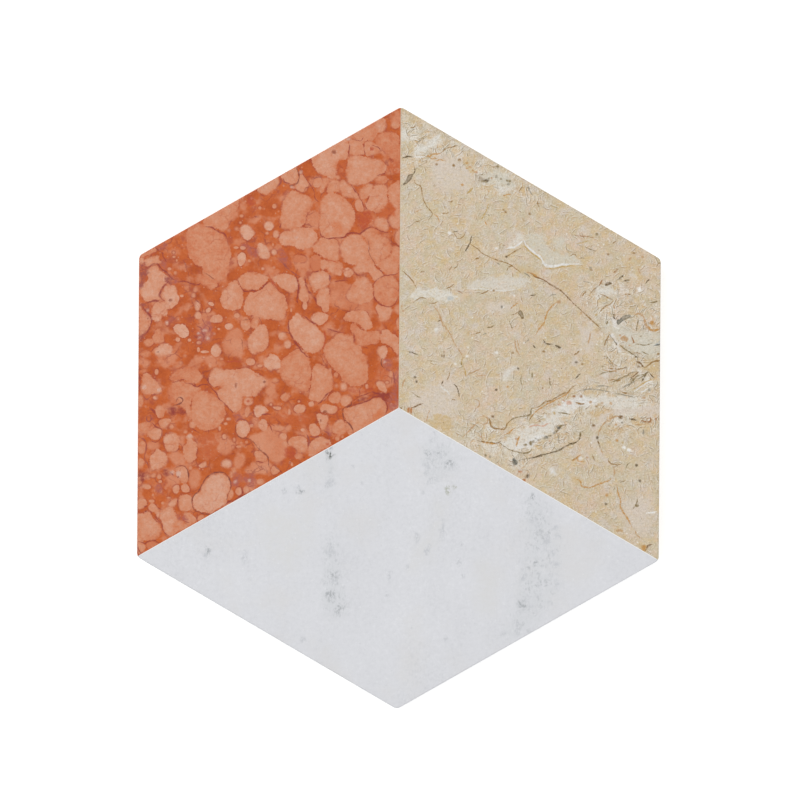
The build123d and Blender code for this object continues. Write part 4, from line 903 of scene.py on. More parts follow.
# Soft patches of the cream stone: ink, softness of the edge and outline
CREAM_STAINS = [
    ("cloud", 0.5, [(4, 42), (5, 44), (8, 45.8), (12, 45.9), (16, 44.8), (20, 43.8), (22, 43), (21.5, 41),
        (18, 41), (15, 42), (11, 42.6), (8, 43), (6, 41.8)]),
    ("lens", 0.4, [(26, 46), (28, 48), (31, 49.3), (35, 50.2), (40, 50.5), (45, 50.5), (49, 50),
        (50, 48.5), (48, 47), (45, 46), (42, 45.5), (38, 45.3), (34, 45.8), (30, 46.2)]),
    ("stone_grey", 0.8, [(18, 42), (19.5, 43), (21.7, 42.4), (20.5, 41.2)]),
    ("blush", 3.0, [(13, 85), (25, 84), (29, 89), (22, 96), (13, 95)]),
    ("blush", 2.5, [(4, 3), (12, 9), (22, 11), (22, 2), (18, -4), (11, -4)]),
    ("blush", 3.0, [(87, -35), (96, -34), (97, -45), (91, -47), (86, -41)]),
    ("cloud", 0.8, [(0.3, 108), (2.3, 106), (2.5, 104), (1.8, 103), (0.3, 102.5)]),
    ("sage", 0.9, [(48.5, 65.5), (52, 67), (54, 66.5), (56, 63), (58, 61), (62, 60), (67, 58.5),
        (69.5, 57), (69, 55.8), (62, 55.4), (57, 55), (55, 57), (52, 60), (49, 62.5)]),
    ("cloud", 1.0, [(40, -14), (42, -11), (46, -8.5), (50, -6.5), (54, -5), (57, -2), (60, 0.5), (63, 1),
        (64, -1), (62, -4), (60, -7), (58, -10), (54, -11), (50, -13), (46, -15)]),
    ("chalk", 0.4, [(55, -3.7), (56.5, -2.3), (58, -0.5), (59.5, 0.5), (60, -0.3), (58, -1.7),
        (56.5, -3.5)]),
    ("blush", 0.7, [(99.8, 1.3), (95, 1.6), (90, 0.4), (85, 0), (80.5, -0.8), (77.5, -2.5), (75.3, -5.5),
        (74.4, -9), (74.6, -13), (76.5, -17), (79.5, -21), (80, -19.5), (78, -16.5), (76, -13),
        (75.7, -10), (76.5, -7), (78.5, -4.2), (81, -2.6), (84, -1.8), (88, -2), (93, -2.2),
        (99.8, -1.8)]),
    ("cloud", 0.9, [(76, 4.5), (80, 5.3), (85, 4.5), (90, 3.5), (93, 2), (90, 0.9), (85, 0.3), (80, 1.2),
        (76, 2.5)]),
    ("cloud", 1.0, [(75.5, 46), (78, 46.8), (82, 46), (83, 44.5), (79, 44), (76, 44.5)]),
    ("chalk", 0.6, [(81.3, 36.5), (82.6, 34), (83, 31.5), (82, 31), (81, 33.5)]),
    ("chalk", 0.5, [(83.6, 24), (84.9, 23.7), (85, 22.2), (83.8, 21.8)]),
    ("honey", 1.2, [(10.5, -5), (12, -4), (14.5, -5.5), (15, -7.7), (13, -7)]),
    ("honey", 1.0, [(91, -51), (93, -51.5), (95, -53), (94.5, -54.2), (92, -52.8)]),
    ("honey", 1.4, [(72, 7), (75, 6.5), (75.5, 5.6), (71, 5.8)]),
    ("honey", 1.4, [(74, -2), (78, -0.8), (78, -1.6), (74.5, -2.8)]),
    ("honey", 1.3, [(66, -25.5), (69.5, -26), (70, -28), (67.5, -27.5)]),
    ("honey", 1.4, [(93, 16), (96, 18.5), (100, 19.8), (100, 15.5), (97, 14)]),
    ("honey", 1.6, [(46, 55), (50, 53.5), (53, 51.5), (51, 50.8), (47, 52.8)]),
    ("honey", 1.5, [(24, 95), (27, 94), (29, 91), (27, 89.5), (24.5, 91.5)]),
    ("blush", 1.5, [(70, 31), (73, 33), (75, 29), (74, 23), (71, 22), (69, 26)]),
    ("blush", 1.5, [(34, 40), (40, 41), (43, 38), (38, 36.5), (33, 38)]),
    ("chalk", 0.7, [(48, -12), (51, -10), (52.5, -8), (50, -8), (47, -10)]),
    ("cloud", 0.9, [(38.5, 12), (41, 14), (44, 16), (44.5, 15), (41.5, 12), (39.5, 10.5)]),
    ("cloud", 0.8, [(88, 52), (91, 51.3), (92, 50.5), (88.5, 50.6)]),
    ("chalk", 1.2, [(60, 0), (63, 2.6), (67, 4.3), (72, 5), (76, 4), (76, 2.5), (70, 1), (66, -1),
        (62, -1.8)]),
    ("chalk", 0.9, [(44, -13.6), (47, -10), (52, -7), (56, -7.6), (58, -5.5), (60, -6), (59, -9),
        (55, -11), (50, -14.6)]),
    ("chalk", 0.7, [(58, -22.5), (60, -22.8), (60.2, -24.8), (58.6, -24.5)]),
    ("sage", 1.8, [(79, 35), (84, 31.5), (91, 30), (99.8, 28.5), (99.8, 21), (94, 20.5), (89, 22),
        (84, 26), (80, 30)]),
    ("chalk", 0.8, [(80.5, 31), (82.3, 29), (83.5, 26.5), (84.6, 24.5), (83.2, 25), (81.5, 28)]),
    ("sage", 1.5, [(33, 86), (37, 85.5), (42, 83.5), (45, 86), (41, 89.5), (36, 92), (32, 90)]),
    ("cloud", 1.0, [(35.8, 83.5), (38, 85.3), (42, 85.5), (43.5, 84), (41, 83), (38, 82.4)]),
    ("cloud", 1.2, [(5.5, 97.5), (8, 100), (11, 103), (14, 105), (15, 103.5), (12, 100), (9, 98),
        (7, 96.8)]),
    ("cloud", 1.2, [(44, 66), (46.5, 67.2), (47.2, 65), (44.5, 62.6), (42, 62.2), (42.5, 64)]),
    ("sage", 1.3, [(59, 64.5), (61.5, 67), (63, 65), (61, 61), (58.5, 61.5)]),
    ("taupe", 0.8, [(28.2, 90.2), (29.8, 89.8), (31.6, 88.6), (32, 87.4), (30, 87.9), (28.6, 89)]),
    ("honey", 1.2, [(12, -1), (15, 0), (19, -3), (21, -7), (18, -9), (14, -6.5)]),
    ("chalk", 0.6, [(43, -12), (46, -11.5), (48, -14), (46, -15.6), (43.5, -14)]),
]

# Outlines of the parts of the cream stone where shell and stains crowd
CREAM_ZONES = [
    [(24, -11), (30, -3), (36, -6), (42, -9), (50, -2), (58, 4), (66, 8), (76, 9), (90, 7), (100, 13),
        (100, -6), (90, -8), (84, -10), (76, -3), (70, -3), (68, -12), (60, -15), (52, -19), (46, -25),
        (42, -20)],
    [(70, 46), (78, 50), (88, 48), (96, 44), (100, 36), (100, 10), (90, 9), (82, 10), (78, 20), (77, 30),
        (73, 38)],
    [(0, 112), (0, 94), (10, 93), (16, 96), (24, 90), (32, 84), (44, 82), (52, 78), (56, 82), (20, 103)],
]

# Chips of the cream stone: rim ink, middle ink and outline
CREAM_CHIPS = [
    ("dark", "taupe", [(0.3, 85.2), (2, 85.8), (2.8, 86.5), (3.8, 87.3), (4.8, 89.3), (5, 89.8),
        (3.5, 89.5), (2.7, 88.8), (2, 87), (1, 85.9)]),
    ("slate", "grey", [(83.2, 33.5), (83.4, 34.3), (84.5, 34.7), (85.5, 35.7), (87, 36.3), (88.3, 36.4),
        (88.5, 35.8), (87.8, 35), (86, 34.3), (85, 33.5), (84, 32.5), (83.4, 32.8)]),
    ("olive", "taupe", [(45.3, 36.9), (46, 37.7), (46.8, 37.6), (47.2, 36.5), (47.6, 35.3), (47.5, 34.6),
        (46.7, 34.6), (46.2, 35.6), (45.5, 36.2)]),
    ("dark", "umber", [(78.6, 47.5), (79.3, 48.7), (80.3, 48.8), (81.4, 48.4), (80.6, 47.9),
        (79.5, 47.5)]),
]

# Small spots of the cream stone: ink, place, width and height
CREAM_SPOTS = [
    ("brown", 13.8, 93.3, 0.9, 0.8), ("brown", 9.7, 94.2, 0.8, 0.8), ("brown", 22.5, 95.2, 0.9, 0.8),
    ("brown", 20.3, 93.2, 0.8, 0.8), ("orange", 25.5, 94, 1.1, 0.8), ("orange", 25.5, 92, 1, 0.8),
    ("orange", 27, 92.4, 0.9, 0.7), ("orange", 28.7, 90.5, 1, 0.9), ("olive", 32.5, 87, 2.4, 1),
    ("olive", 34, 88.3, 0.9, 0.7), ("olive", 36.5, 88.5, 1, 0.8), ("olive", 38.3, 88, 0.9, 0.7),
    ("white", 32, 86, 1.4, 0.8), ("orange", 23.7, 85.7, 0.9, 0.8), ("orange", 33.8, 83.3, 0.8, 0.8),
    ("orange", 31.2, 84, 0.8, 0.7), ("white", 19, 67.3, 1.2, 0.9), ("white", 21.3, 65.3, 0.9, 0.8),
    ("brown", 36, 45.3, 0.9, 0.7), ("slate", 39.2, 39, 0.6, 0.7), ("umber", 47.1, 35, 1.1, 1.1),
    ("rust", 1.3, 37.2, 1.2, 1.1), ("orange", 0.8, 39, 0.9, 1.8), ("white", 36.9, 61.4, 1.2, 0.9),
    ("white", 42.5, 62, 2, 1), ("dark", 40.7, 58.3, 0.8, 0.7), ("brown", 39.7, 62.5, 1, 0.6),
    ("olive", 69.4, 58.1, 0.9, 0.8), ("brown", 39.5, 76.2, 0.8, 0.7), ("brown", 40.3, 75.4, 0.7, 0.7),
    ("brown", 49.5, 74.7, 0.8, 0.7), ("brown", 53, 77.7, 0.8, 0.7), ("brown", 53.2, 60.8, 0.7, 0.7),
    ("gold", 75.3, 36.2, 1.2, 0.9), ("brown", 77, 35, 0.8, 0.6), ("orange", 96.8, 33.4, 1.4, 1.2),
    ("tan", 86, 27, 2.6, 1.8), ("tan", 69.5, 36.8, 1.1, 1), ("tan", 61, 41, 1.2, 1),
    ("olive", 78, 16.5, 1.2, 1), ("umber", 86.4, 16, 0.9, 0.7), ("umber", 91.7, 16.5, 0.9, 0.7),
    ("dark", 67.8, 18, 1, 0.7), ("brown", 70.2, 17.3, 0.8, 0.7), ("white", 91.8, 46, 0.9, 1.2),
    ("olive", 48.5, -13.7, 1.2, 0.8), ("olive", 50.5, -13, 1, 1.6), ("dark", 53.5, -12, 0.8, 0.7),
    ("grey", 55.2, -11.3, 1.4, 0.9), ("dark", 58.2, -10.2, 0.8, 0.7), ("grey", 60.4, -6.6, 1.1, 0.8),
    ("umber", 36, -3, 1.1, 0.9), ("redbrown", 53.8, -4.6, 1.3, 0.8), ("gold", 59.5, -1.5, 0.9, 1.2),
    ("pink", 61.7, 1.8, 1.2, 1), ("pink", 65.3, 2.6, 1.6, 1.3), ("white", 62.8, 3, 1, 0.9),
    ("redbrown", 67, 5, 1.3, 0.9), ("redbrown", 69.7, 5, 0.8, 0.8), ("brown", 33, 17, 0.8, 0.8),
    ("dark", 45.6, 15.5, 0.8, 0.8), ("orange", 41.6, 8.4, 1.3, 1.1), ("dark", 37.3, 7.3, 0.9, 0.8),
    ("brown", 55, 8, 0.8, 0.7), ("dark", 76.2, -10.7, 0.9, 0.9), ("umber", 85, -2.9, 1.4, 0.9),
    ("dark", 85.5, -5, 0.8, 0.8), ("dark", 85.5, -6.9, 1.3, 0.8), ("orange", 83.3, -5.8, 1, 0.8),
    ("brown", 80.5, -6.3, 0.9, 0.6), ("gold", 85.8, -12.5, 1, 0.9), ("orange", 83.7, -11.8, 1.1, 0.9),
    ("white", 86.5, -14.5, 1.5, 1.3), ("white", 88.3, -15.5, 2, 1.4), ("redbrown", 98.5, -3.5, 0.8, 1.1),
    ("cloud", 69.7, -18.8, 1.4, 1.1), ("tan", 72.3, -18.6, 1.2, 1), ("umber", 74.7, -6, 1.2, 0.9),
    ("gold", 70.7, -1.8, 1.1, 1), ("brown", 89, -10.4, 0.8, 0.9), ("dark", 91.1, -21.4, 0.9, 0.8),
    ("dark", 92.5, -27.3, 0.9, 0.9), ("olive", 94.8, -27.6, 0.8, 0.7), ("dark", 79.7, -36.3, 1.1, 1),
    ("olive", 91.3, -36.7, 1.1, 0.9), ("orange", 79.9, -32.9, 0.9, 0.8), ("tan", 84.8, -46.4, 2.4, 0.9),
    ("orange", 94.2, -52.7, 1.6, 1.8), ("umber", 17.2, 20.1, 1, 1.6), ("umber", 17.2, 21.6, 0.7, 0.8),
    # The umber spot at 0.75, -0.05 sits in the pinhole: it is painted shade of the pit, and dirt in it
    ("dark", 6.2, 11.8, 0.9, 0.7), ("dark", 6.7, 10.3, 0.6, 0.8), ("umber", 0.75, -0.05, 0.8, 0.6),
    ("white", 26.4, 23.3, 1.1, 1), ("white", 21.3, 17, 0.9, 0.9), ("white", 26, 20, 0.9, 0.7),
    ("white", 37.2, 21.5, 0.9, 0.9), ("cloud", 14.2, 30.2, 1.1, 1.4), ("brown", 55.3, 22, 0.9, 0.6),
    ("brown", 43.4, 21.4, 0.8, 0.7), ("tan", 77.8, 2.5, 1.1, 0.9), ("orange", 81.4, 2.3, 0.9, 0.8),
    ("brown", 75.7, 1.2, 0.9, 0.7), ("tan", 73.5, 2.8, 1, 1), ("gold", 92.5, 1.7, 1, 0.9),
    ("tan", 94, 4.6, 1.7, 0.9), ("grey", 95.7, 7.6, 0.8, 0.9), ("olive", 75.5, 67.1, 1, 0.9),
    ("tan", 93, 58.5, 0.9, 0.9), ("grey", 73, 54.3, 0.9, 0.6), ("brown", 73.3, 53.4, 1, 0.6),
    ("brown", 79.8, 59.4, 0.7, 0.7), ("umber", 47.2, 34.8, 0.9, 0.8), ("slate", 44.6, -20.4, 2, 2.4),
    ("rust", 46.8, -24.1, 2, 1), ("dark", 49.4, -25.8, 0.9, 1.8), ("rust", 48.2, -27.3, 1.2, 1.1),
    ("olive", 33.4, -17.8, 0.9, 0.9), ("grey", 35, -18.3, 0.8, 0.8), ("rust", 53.2, 80.8, 1.3, 1),
    ("dark", 33, 87.2, 2.8, 1.2), ("olive", 38.4, 88.1, 1, 0.6), ("olive", 40.8, 87.5, 0.9, 0.6),
    ("olive", 42, 87.2, 0.7, 0.7), ("grey", 36.6, 89.2, 0.8, 0.6), ("rust", 26.4, 92.6, 1.4, 1),
    ("rust", 29, 90.4, 1.6, 1), ("olive", 37.2, 92.8, 1.3, 0.8), ("bluegrey", 20, 42, 2.6, 1.4),
    ("slate", 61.2, -7.2, 1.2, 1), ("olive", 62, -6.4, 1.3, 0.9), ("slate", 56.6, -10.8, 1.2, 1),
    ("olive", 57.6, -10.2, 0.8, 0.6), ("olive", 54.2, -11.8, 0.9, 0.6), ("grey", 59.4, -9.2, 0.9, 0.8),
    ("olive", 60.3, -8.2, 0.9, 0.9), ("olive", 51.6, -12.4, 1, 0.8), ("grey", 52.6, -11.4, 0.8, 0.6),
    ("grey", 41.4, 86, 0.8, 0.6), ("rust", 61.2, 1.8, 1.1, 0.8), ("rust", 63, 3.2, 0.9, 0.7),
    ("brown", 54.1, -4.5, 1.2, 0.8), ("umber", 16.3, 20, 0.9, 1.4), ("umber", 17, 21.6, 0.6, 0.7),
    ("rust", 3.8, -0.8, 0.8, 1.6),
]

# Flecks of the white stone: ink, place, width and height
WHITE_SPOTS = [
    ("dark_fleck", -26.7, -17.5, 1.6, 2.4), ("fleck", -26.8, -16, 2.2, 2.4),
    ("fleck", -37.2, -32.3, 1.6, 1.5), ("faint_fleck", -38.6, -30.8, 1.4, 1.2),
    ("faint_fleck", -43.7, -31.8, 1, 1.4), ("fleck", -72.8, -55.2, 1.2, 1.6),
    ("faint_fleck", -73.9, -56.7, 1.1, 1.2), ("faint_fleck", -58.7, -57, 1, 4),
    ("faint_fleck", -25.9, -54.6, 1.5, 3), ("fleck", -24, -64.3, 1.3, 1.5),
    ("faint_fleck", -24.9, -66.2, 1, 1.2), ("fleck", -26, -71.7, 1.9, 1.3),
    ("fleck", -25, -73.5, 1.6, 1.1), ("faint_fleck", -27.5, -77, 1.5, 1.4),
    ("fleck", -22.5, -77, 1.4, 2.2), ("fleck", -20.8, -77.2, 0.9, 1.6),
    ("faint_fleck", -3.2, -64.5, 0.9, 2.5), ("fleck", -4, -72, 0.5, 0.5),
    ("faint_fleck", -17.5, -22.5, 0.7, 0.7), ("faint_fleck", -26, -29, 2.6, 2),
    ("faint_fleck", -14, -28.8, 0.6, 0.6), ("faint_fleck", -36, -89, 0.9, 0.9),
    ("faint_fleck", 9.5, -32.1, 0.8, 0.8), ("fleck", 11.5, -17.5, 1.5, 1.3),
    ("faint_fleck", 14, -16.5, 1.4, 1.1), ("faint_fleck", 11, -21, 1, 3),
    ("faint_fleck", 10.3, -25, 1, 1.2), ("faint_fleck", 12, -28, 1.3, 1.1),
    ("faint_fleck", 17, -18, 1.3, 1.1), ("fleck", 20, -21, 1.4, 1.8),
    ("faint_fleck", 22, -21.5, 1.6, 1.3), ("faint_fleck", 21, -19, 0.9, 0.9),
    ("olive_fleck", 19, -31.5, 1.3, 2), ("olive_fleck", 21.3, -30, 0.9, 1.3),
    ("faint_fleck", 17.3, -46, 0.9, 4), ("faint_fleck", 7.5, -50, 1, 2),
    ("faint_fleck", 12.3, -53, 0.9, 1), ("faint_fleck", 11, -55, 1.3, 1.7),
    ("faint_fleck", 3.2, -61, 1, 1.3), ("faint_fleck", 24.2, -52, 0.6, 0.8),
    ("faint_fleck", 23.2, -59, 0.9, 1.5), ("faint_fleck", 25, -64, 0.7, 0.8),
    ("fleck", 51.5, -33.5, 1.2, 1.4), ("faint_fleck", 51.8, -42.8, 1.5, 1.3),
    ("faint_fleck", 53.5, -44.5, 1.1, 1.5), ("fleck", 53.8, -47.4, 1.5, 1.4),
    ("faint_fleck", 60, -45.1, 1.2, 1.1), ("faint_fleck", 61.3, -48.7, 1, 0.9),
    ("faint_fleck", 57, -51.5, 1, 4), ("faint_fleck", 59.3, -55, 0.9, 1.2),
    ("fleck", 52.8, -58.6, 1.6, 1.8), ("fleck", 50.2, -60.8, 1.5, 0.9),
    ("faint_fleck", 49, -63.3, 1.1, 1.2), ("faint_fleck", 48, -65, 1.2, 1.1),
    ("faint_fleck", 58.5, -58.8, 1.1, 1), ("faint_fleck", 60.5, -59.8, 1, 1),
    ("fleck", 57, -66.2, 1.1, 1.1), ("faint_fleck", 61, -67, 1, 2.4),
    ("faint_fleck", 53.5, -71.8, 1.1, 1.1), ("faint_fleck", 55, -71.5, 1, 1.3),
    ("fleck", 48, -74.5, 1.7, 2.2), ("faint_fleck", 46.5, -75, 1.1, 1),
    ("faint_fleck", 49.5, -73, 1.1, 1.3), ("faint_fleck", 46.4, -77.8, 1.1, 1),
    ("faint_fleck", 58.5, -74.4, 1.1, 1.2), ("faint_fleck", 51, -75.5, 1.2, 1),
    ("faint_fleck", 46, -84, 1.4, 3), ("faint_fleck", 40.5, -86.2, 1, 1),
    ("faint_fleck", 50.5, -85, 1, 1), ("faint_fleck", 5.8, -84, 0.6, 0.8),
    ("faint_fleck", 18.5, -88.3, 0.7, 0.7), ("faint_fleck", 2.5, -111.5, 1, 0.8),
    ("fleck", 14, -9.2, 1.2, 0.9), ("faint_fleck", 12.7, -12, 1, 1.6),
    ("faint_fleck", 14.6, -14.4, 0.8, 1.4), ("faint_fleck", 16.5, -14.3, 0.8, 1.2),
    ("faint_fleck", 19.3, -11.5, 1.2, 0.8), ("fleck", 15, -17, 0.8, 1),
    ("faint_fleck", 11.4, -22.8, 1.2, 1), ("faint_fleck", 20.2, -23, 1.3, 0.8),
    ("faint_fleck", 13.8, -27, 1, 0.8), ("dark_fleck", 53.9, -47.3, 0.8, 0.8),
    ("dark_fleck", 48, -74.4, 0.7, 1), ("dark_fleck", 9.5, -32.2, 0.5, 0.6),
    ("dark_fleck", -22.6, -76.8, 0.6, 1), ("dark_fleck", -20.9, -77, 0.5, 0.9),
    ("dark_fleck", -24, -64.2, 0.6, 0.5), ("dark_fleck", 52.8, -58.6, 0.5, 0.6),
    ("dark_fleck", -26, -71.7, 0.8, 0.4), ("dark_fleck", 20, -21, 0.6, 0.6),
]

# Soft clouds of the white stone: ink, softness of the edge and outline
WHITE_STAINS = [
    ("mist", 4.0, [(49, -33), (58, -40), (62, -52), (61, -68), (55, -78), (47, -87), (42, -86), (46, -70),
        (49, -50)]),
    ("mist", 3.0, [(10, -15), (18, -14), (23, -19), (21, -24), (14, -28), (10, -25)]),
    ("mist", 3.0, [(-28, -52), (-24, -52), (-21, -66), (-20, -78), (-28, -79), (-28, -66)]),
    ("mist", 2.5, [(-27.5, -20), (-25, -20), (-24.5, -30), (-27, -30)]),
    ("warm_mist", 5.0, [(-52, -42), (-42, -40), (-33, -44), (-36, -56), (-42, -62), (-50, -56)]),
    ("warm_mist", 4.0, [(14, -36), (19, -36), (16, -48), (12, -58), (5, -62), (6, -54), (12, -46)]),
    ("warm_mist", 4.0, [(30, -58), (36, -60), (37, -76), (31, -77)]),
]


# Fields: what the listed marks make of any point of a stone


def direction(degrees):
    """A step of one in the plan, turned from +X."""
    return np.array([math.cos(math.radians(degrees)), math.sin(math.radians(degrees))])


def linear(display):
    """A display colour, 0 to 255, as linear light."""
    share = np.array(display, float) / 255
    return np.where(share <= 0.04045, share / 12.92, ((share + 0.055) / 1.055) ** 2.4)


def ease(share):
    """A share from 0 to 1, eased at both ends."""
    return share * share * (3 - 2 * share)


def smooth_noise(points, period, seed):
    """Smooth noise from -1 to 1 over points in millimetres."""
    lattice = np.random.default_rng(seed).uniform(-1, 1, (LATTICE,) * 3)
    scaled = points / period + LATTICE / 2
    base = np.floor(scaled).astype(int)
    part = ease(scaled - base)
    total = np.zeros(len(points))
    for corner in itertools.product((0, 1), repeat=3):
        weight = np.prod(np.where(corner, part, 1 - part), axis=1)
        index = (base + corner) % LATTICE
        total += weight * lattice[tuple(index.T)]
    return total


def layered_noise(points, layers):
    """The sum of several smooth noises."""
    return sum(strength * smooth_noise(points, period, seed) for strength, period, seed in layers)


def smooth_curve(points, closed):
    """Points along the Catmull-Rom curve through the given points."""
    points = np.array(points, float)
    if closed:
        padded = np.vstack([points[-1:], points, points[:2]])
    else:
        padded = np.vstack([2 * points[:1] - points[1:2], points, 2 * points[-1:] - points[-2:-1]])
    t = np.linspace(0, 1, CURVE_STEPS, endpoint=False)[:, None]
    spans = []
    for before, start, end, after in zip(padded, padded[1:], padded[2:], padded[3:]):
        spans.append(
            start
            + 0.5 * t * (end - before)
            + t**2 * (before - 2.5 * start + 2 * end - 0.5 * after)
            + t**3 * (1.5 * (start - end) + 0.5 * (after - before))
        )
    if not closed:
        spans.append(points[-1:])
    return np.vstack(spans)


def ellipse(x, y, width, height, tilt=0.0):
    """Outline of a pebble or a spot."""
    angle = np.radians(np.arange(0, 360, 45))
    across = direction(tilt) * width / 2
    up = direction(tilt + 90) * height / 2
    return np.array([x, y]) + np.outer(np.cos(angle), across) + np.outer(np.sin(angle), up)


def near_box(plan, curve, reach):
    """Indices of the plan points within reach of a curve's box."""
    low = curve.min(0) - reach
    high = curve.max(0) + reach
    return np.where(((plan > low) & (plan < high)).all(1))[0]


def to_segments(plan, starts, ends):
    """Distance to the nearest segment, its index, and the unclipped place along it."""
    runs = ends - starts
    offsets = plan[:, None] - starts
    along = (offsets * runs).sum(-1) / (runs**2).sum(-1)
    gaps = offsets - np.clip(along, 0, 1)[..., None] * runs
    squares = (gaps**2).sum(-1)
    nearest = squares.argmin(1)
    rows = np.arange(len(plan))
    return np.sqrt(squares[rows, nearest]), nearest, along[rows, nearest]


def inside_outline(plan, curve):
    """Whether each plan point lies inside a closed curve."""
    starts = curve
    ends = np.roll(curve, -1, axis=0)
    x, y = plan[:, 0:1], plan[:, 1:2]
    spans = (starts[:, 1] > y) != (ends[:, 1] > y)
    rise = np.where(ends[:, 1] == starts[:, 1], 1, ends[:, 1] - starts[:, 1])
    crossing = starts[:, 0] + (ends[:, 0] - starts[:, 0]) * (y - starts[:, 1]) / rise
    return (spans & (x < crossing)).sum(1) % 2 == 1


def into_outline(plan, depth, outline, reach):
    """Indices of the points near an outline, how far each lies inside it, and the outline's radius.

    The outline closes with depth, as a round lump does.
    """
    curve = smooth_curve(outline, True)
    near = near_box(plan, curve, reach)
    gap, _, _ = to_segments(plan[near], curve, np.roll(curve, -1, axis=0))
    into = np.where(inside_outline(plan[near], curve), gap, -gap)
    radius = np.sqrt(np.ptp(curve[:, 0]) * np.ptp(curve[:, 1])) / 2
    closing_depth = CLOSING_SHARE * radius + CLOSING_LEAST
    return near, into - radius * (depth[near] / closing_depth) ** 2, radius


def blob_fields(plan, depth, blobs):
    """How far each point lies inside the nearest blob, that blob's tone and how ragged it is."""
    deepest = np.full(len(plan), -BLOB_REACH)
    tones = np.zeros(len(plan))
    ragged = np.ones(len(plan))
    for tone, outline in blobs:
        near, into, radius = into_outline(plan, depth, outline, BLOB_REACH)
        better = into > deepest[near]
        chosen = near[better]
        deepest[chosen] = into[better]
        tones[chosen] = tone
        ragged[chosen] = np.clip(radius / RAGGED_RADIUS, LEAST_RAGGED, 1)
    return deepest, tones, ragged


def stain_fields(plan, depth, stains):
    """Weight and colour of the strongest stain at each point."""
    strongest = np.zeros(len(plan))
    colours = np.ones((len(plan), 4))
    rough = layered_noise(np.column_stack([plan, depth]), STAIN_NOISE)
    for ink, soft, outline in stains:
        near, into, radius = into_outline(plan, depth, outline, soft + STAIN_REACH)
        into += rough[near] * min(radius / STAIN_RADIUS, 1)
        weight = ease(np.clip(into / (2 * soft) + 0.5, 0, 1))
        better = weight > strongest[near]
        chosen = near[better]
        strongest[chosen] = weight[better]
        colours[chosen, :3] = linear(INKS[ink])
    return strongest, colours


def line_lanes(lines):
    """Shares the lines out to lanes, so that lines in one lane keep apart."""
    lanes = [[] for _ in range(LANES)]
    for ink, width, points in lines:
        curve = smooth_curve(points, False)
        room = []
        for lane in lanes:
            gaps = [np.linalg.norm(curve[:, None] - other, axis=-1).min() for _, _, other in lane]
            room.append(min(gaps, default=math.inf))
        best = next((number for number, gap in enumerate(room) if gap > LANE_GAP), int(np.argmax(room)))
        lanes[best].append((ink, width, curve))
    return lanes


def line_fields(plan, lane):
    """Signed distance across, weight and half width of the nearest line, and its colour."""
    closest = np.full(len(plan), FAR)
    across = np.full(len(plan), FAR)
    weight = np.zeros(len(plan))
    half = np.full(len(plan), NO_LINE)
    colours = np.ones((len(plan), 4))
    for ink, width, curve in lane:
        near = near_box(plan, curve, LINE_REACH)
        if len(near) == 0:
            continue
        starts = curve[:-1]
        ends = curve[1:]
        gap, index, along = to_segments(plan[near], starts, ends)
        runs = ends[index] - starts[index]
        offset = plan[near] - starts[index]
        side = np.sign(runs[:, 0] * offset[:, 1] - runs[:, 1] * offset[:, 0])
        place = (index + np.clip(along, 0, 1)) / len(starts)
        before = np.where(index == 0, np.maximum(-along, 0), 0)
        after = np.where(index == len(starts) - 1, np.maximum(along - 1, 0), 0)
        beyond = (before + after) * np.linalg.norm(runs, axis=1)
        taper = np.clip(np.minimum(place, 1 - place) / TIP_LENGTH, LINE_TIP, 1)
        fade = np.clip((LINE_GONE - gap) / (LINE_GONE - LINE_FULL), 0, 1)
        fade *= np.clip(1 - beyond / LINE_END, 0, 1)
        better = gap < closest[near]
        chosen = near[better]
        closest[chosen] = gap[better]
        across[chosen] = (side * gap)[better]
        weight[chosen] = fade[better]
        half[chosen] = (width * taper)[better]
        colours[chosen, :3] = linear(INKS[ink])
    return across, weight, half, colours


# Meshes


def round_corners(plan):
    """Draws the sharp corners of the hexagon in to their radius."""
    plan = plan.copy()
    for corner in range(6):
        axis = direction(30 + 60 * corner)
        centre = axis * (APOTHEM - CORNER_RADIUS) / math.cos(HALF_CORNER)
        offset = plan - centre
        along = offset @ axis
        angle = np.abs(np.arctan2(axis[0] * offset[:, 1] - axis[1] * offset[:, 0], along))
        inside = angle < HALF_CORNER
        shrink = np.cos(HALF_CORNER - angle[inside])
        plan[inside] = centre + offset[inside] * shrink[:, None]
    return plan


def rhombus(a, b, turn, inset):
    """Plan points at shares a, b of a stone's two joint sides, its outer edges set in by inset."""
    length = (APOTHEM - inset) / math.cos(HALF_CORNER) - INNER_CORNER
    first = direction(turn - 60)
    second = direction(turn + 60)
    plan = direction(turn) * INNER_CORNER + length * (np.outer(a, first) + np.outer(b, second))
    return round_corners(plan)


def grid_shares(cells):
    """Shares a, b of the vertices of a square grid."""
    shares = np.arange(cells + 1) / cells
    return (values.ravel() for values in np.meshgrid(shares, shares, indexing="ij"))


def grid_quads(cells, flipped):
    """Quads of a square grid of cells, with their shares a, b at each corner."""
    count = cells + 1
    i, j = (values.ravel() for values in np.meshgrid(np.arange(cells), np.arange(cells), indexing="ij"))
    corners = [(i, j), (i + 1, j), (i + 1, j + 1), (i, j + 1)]
    if flipped:
        corners.reverse()
    quads = np.stack([p * count + q for p, q in corners], axis=1)
    shares = np.stack([np.stack([p, q], axis=1) / cells for p, q in corners], axis=1)
    return quads, shares


def loop_shares(cells):
    """Shares a, b round the four sides of a stone, once round."""
    step = np.arange(cells) / cells
    zero = np.zeros(cells)
    one = np.ones(cells)
    return np.concatenate([step, one, 1 - step, zero]), np.concatenate([zero, step, one, 1 - step])


def loop_index(cells):
    """Where the grid's vertices lie round its four sides, once round."""
    count = cells + 1
    step = np.arange(cells)
    return np.concatenate(
        [step * count, cells * count + step, (cells - step) * count + cells, cells - step]
    )


def dent(distance, depth, reach):
    """Depth of a dent, fading with the distance from its middle."""
    return depth * np.exp(-((distance / reach) ** 2))


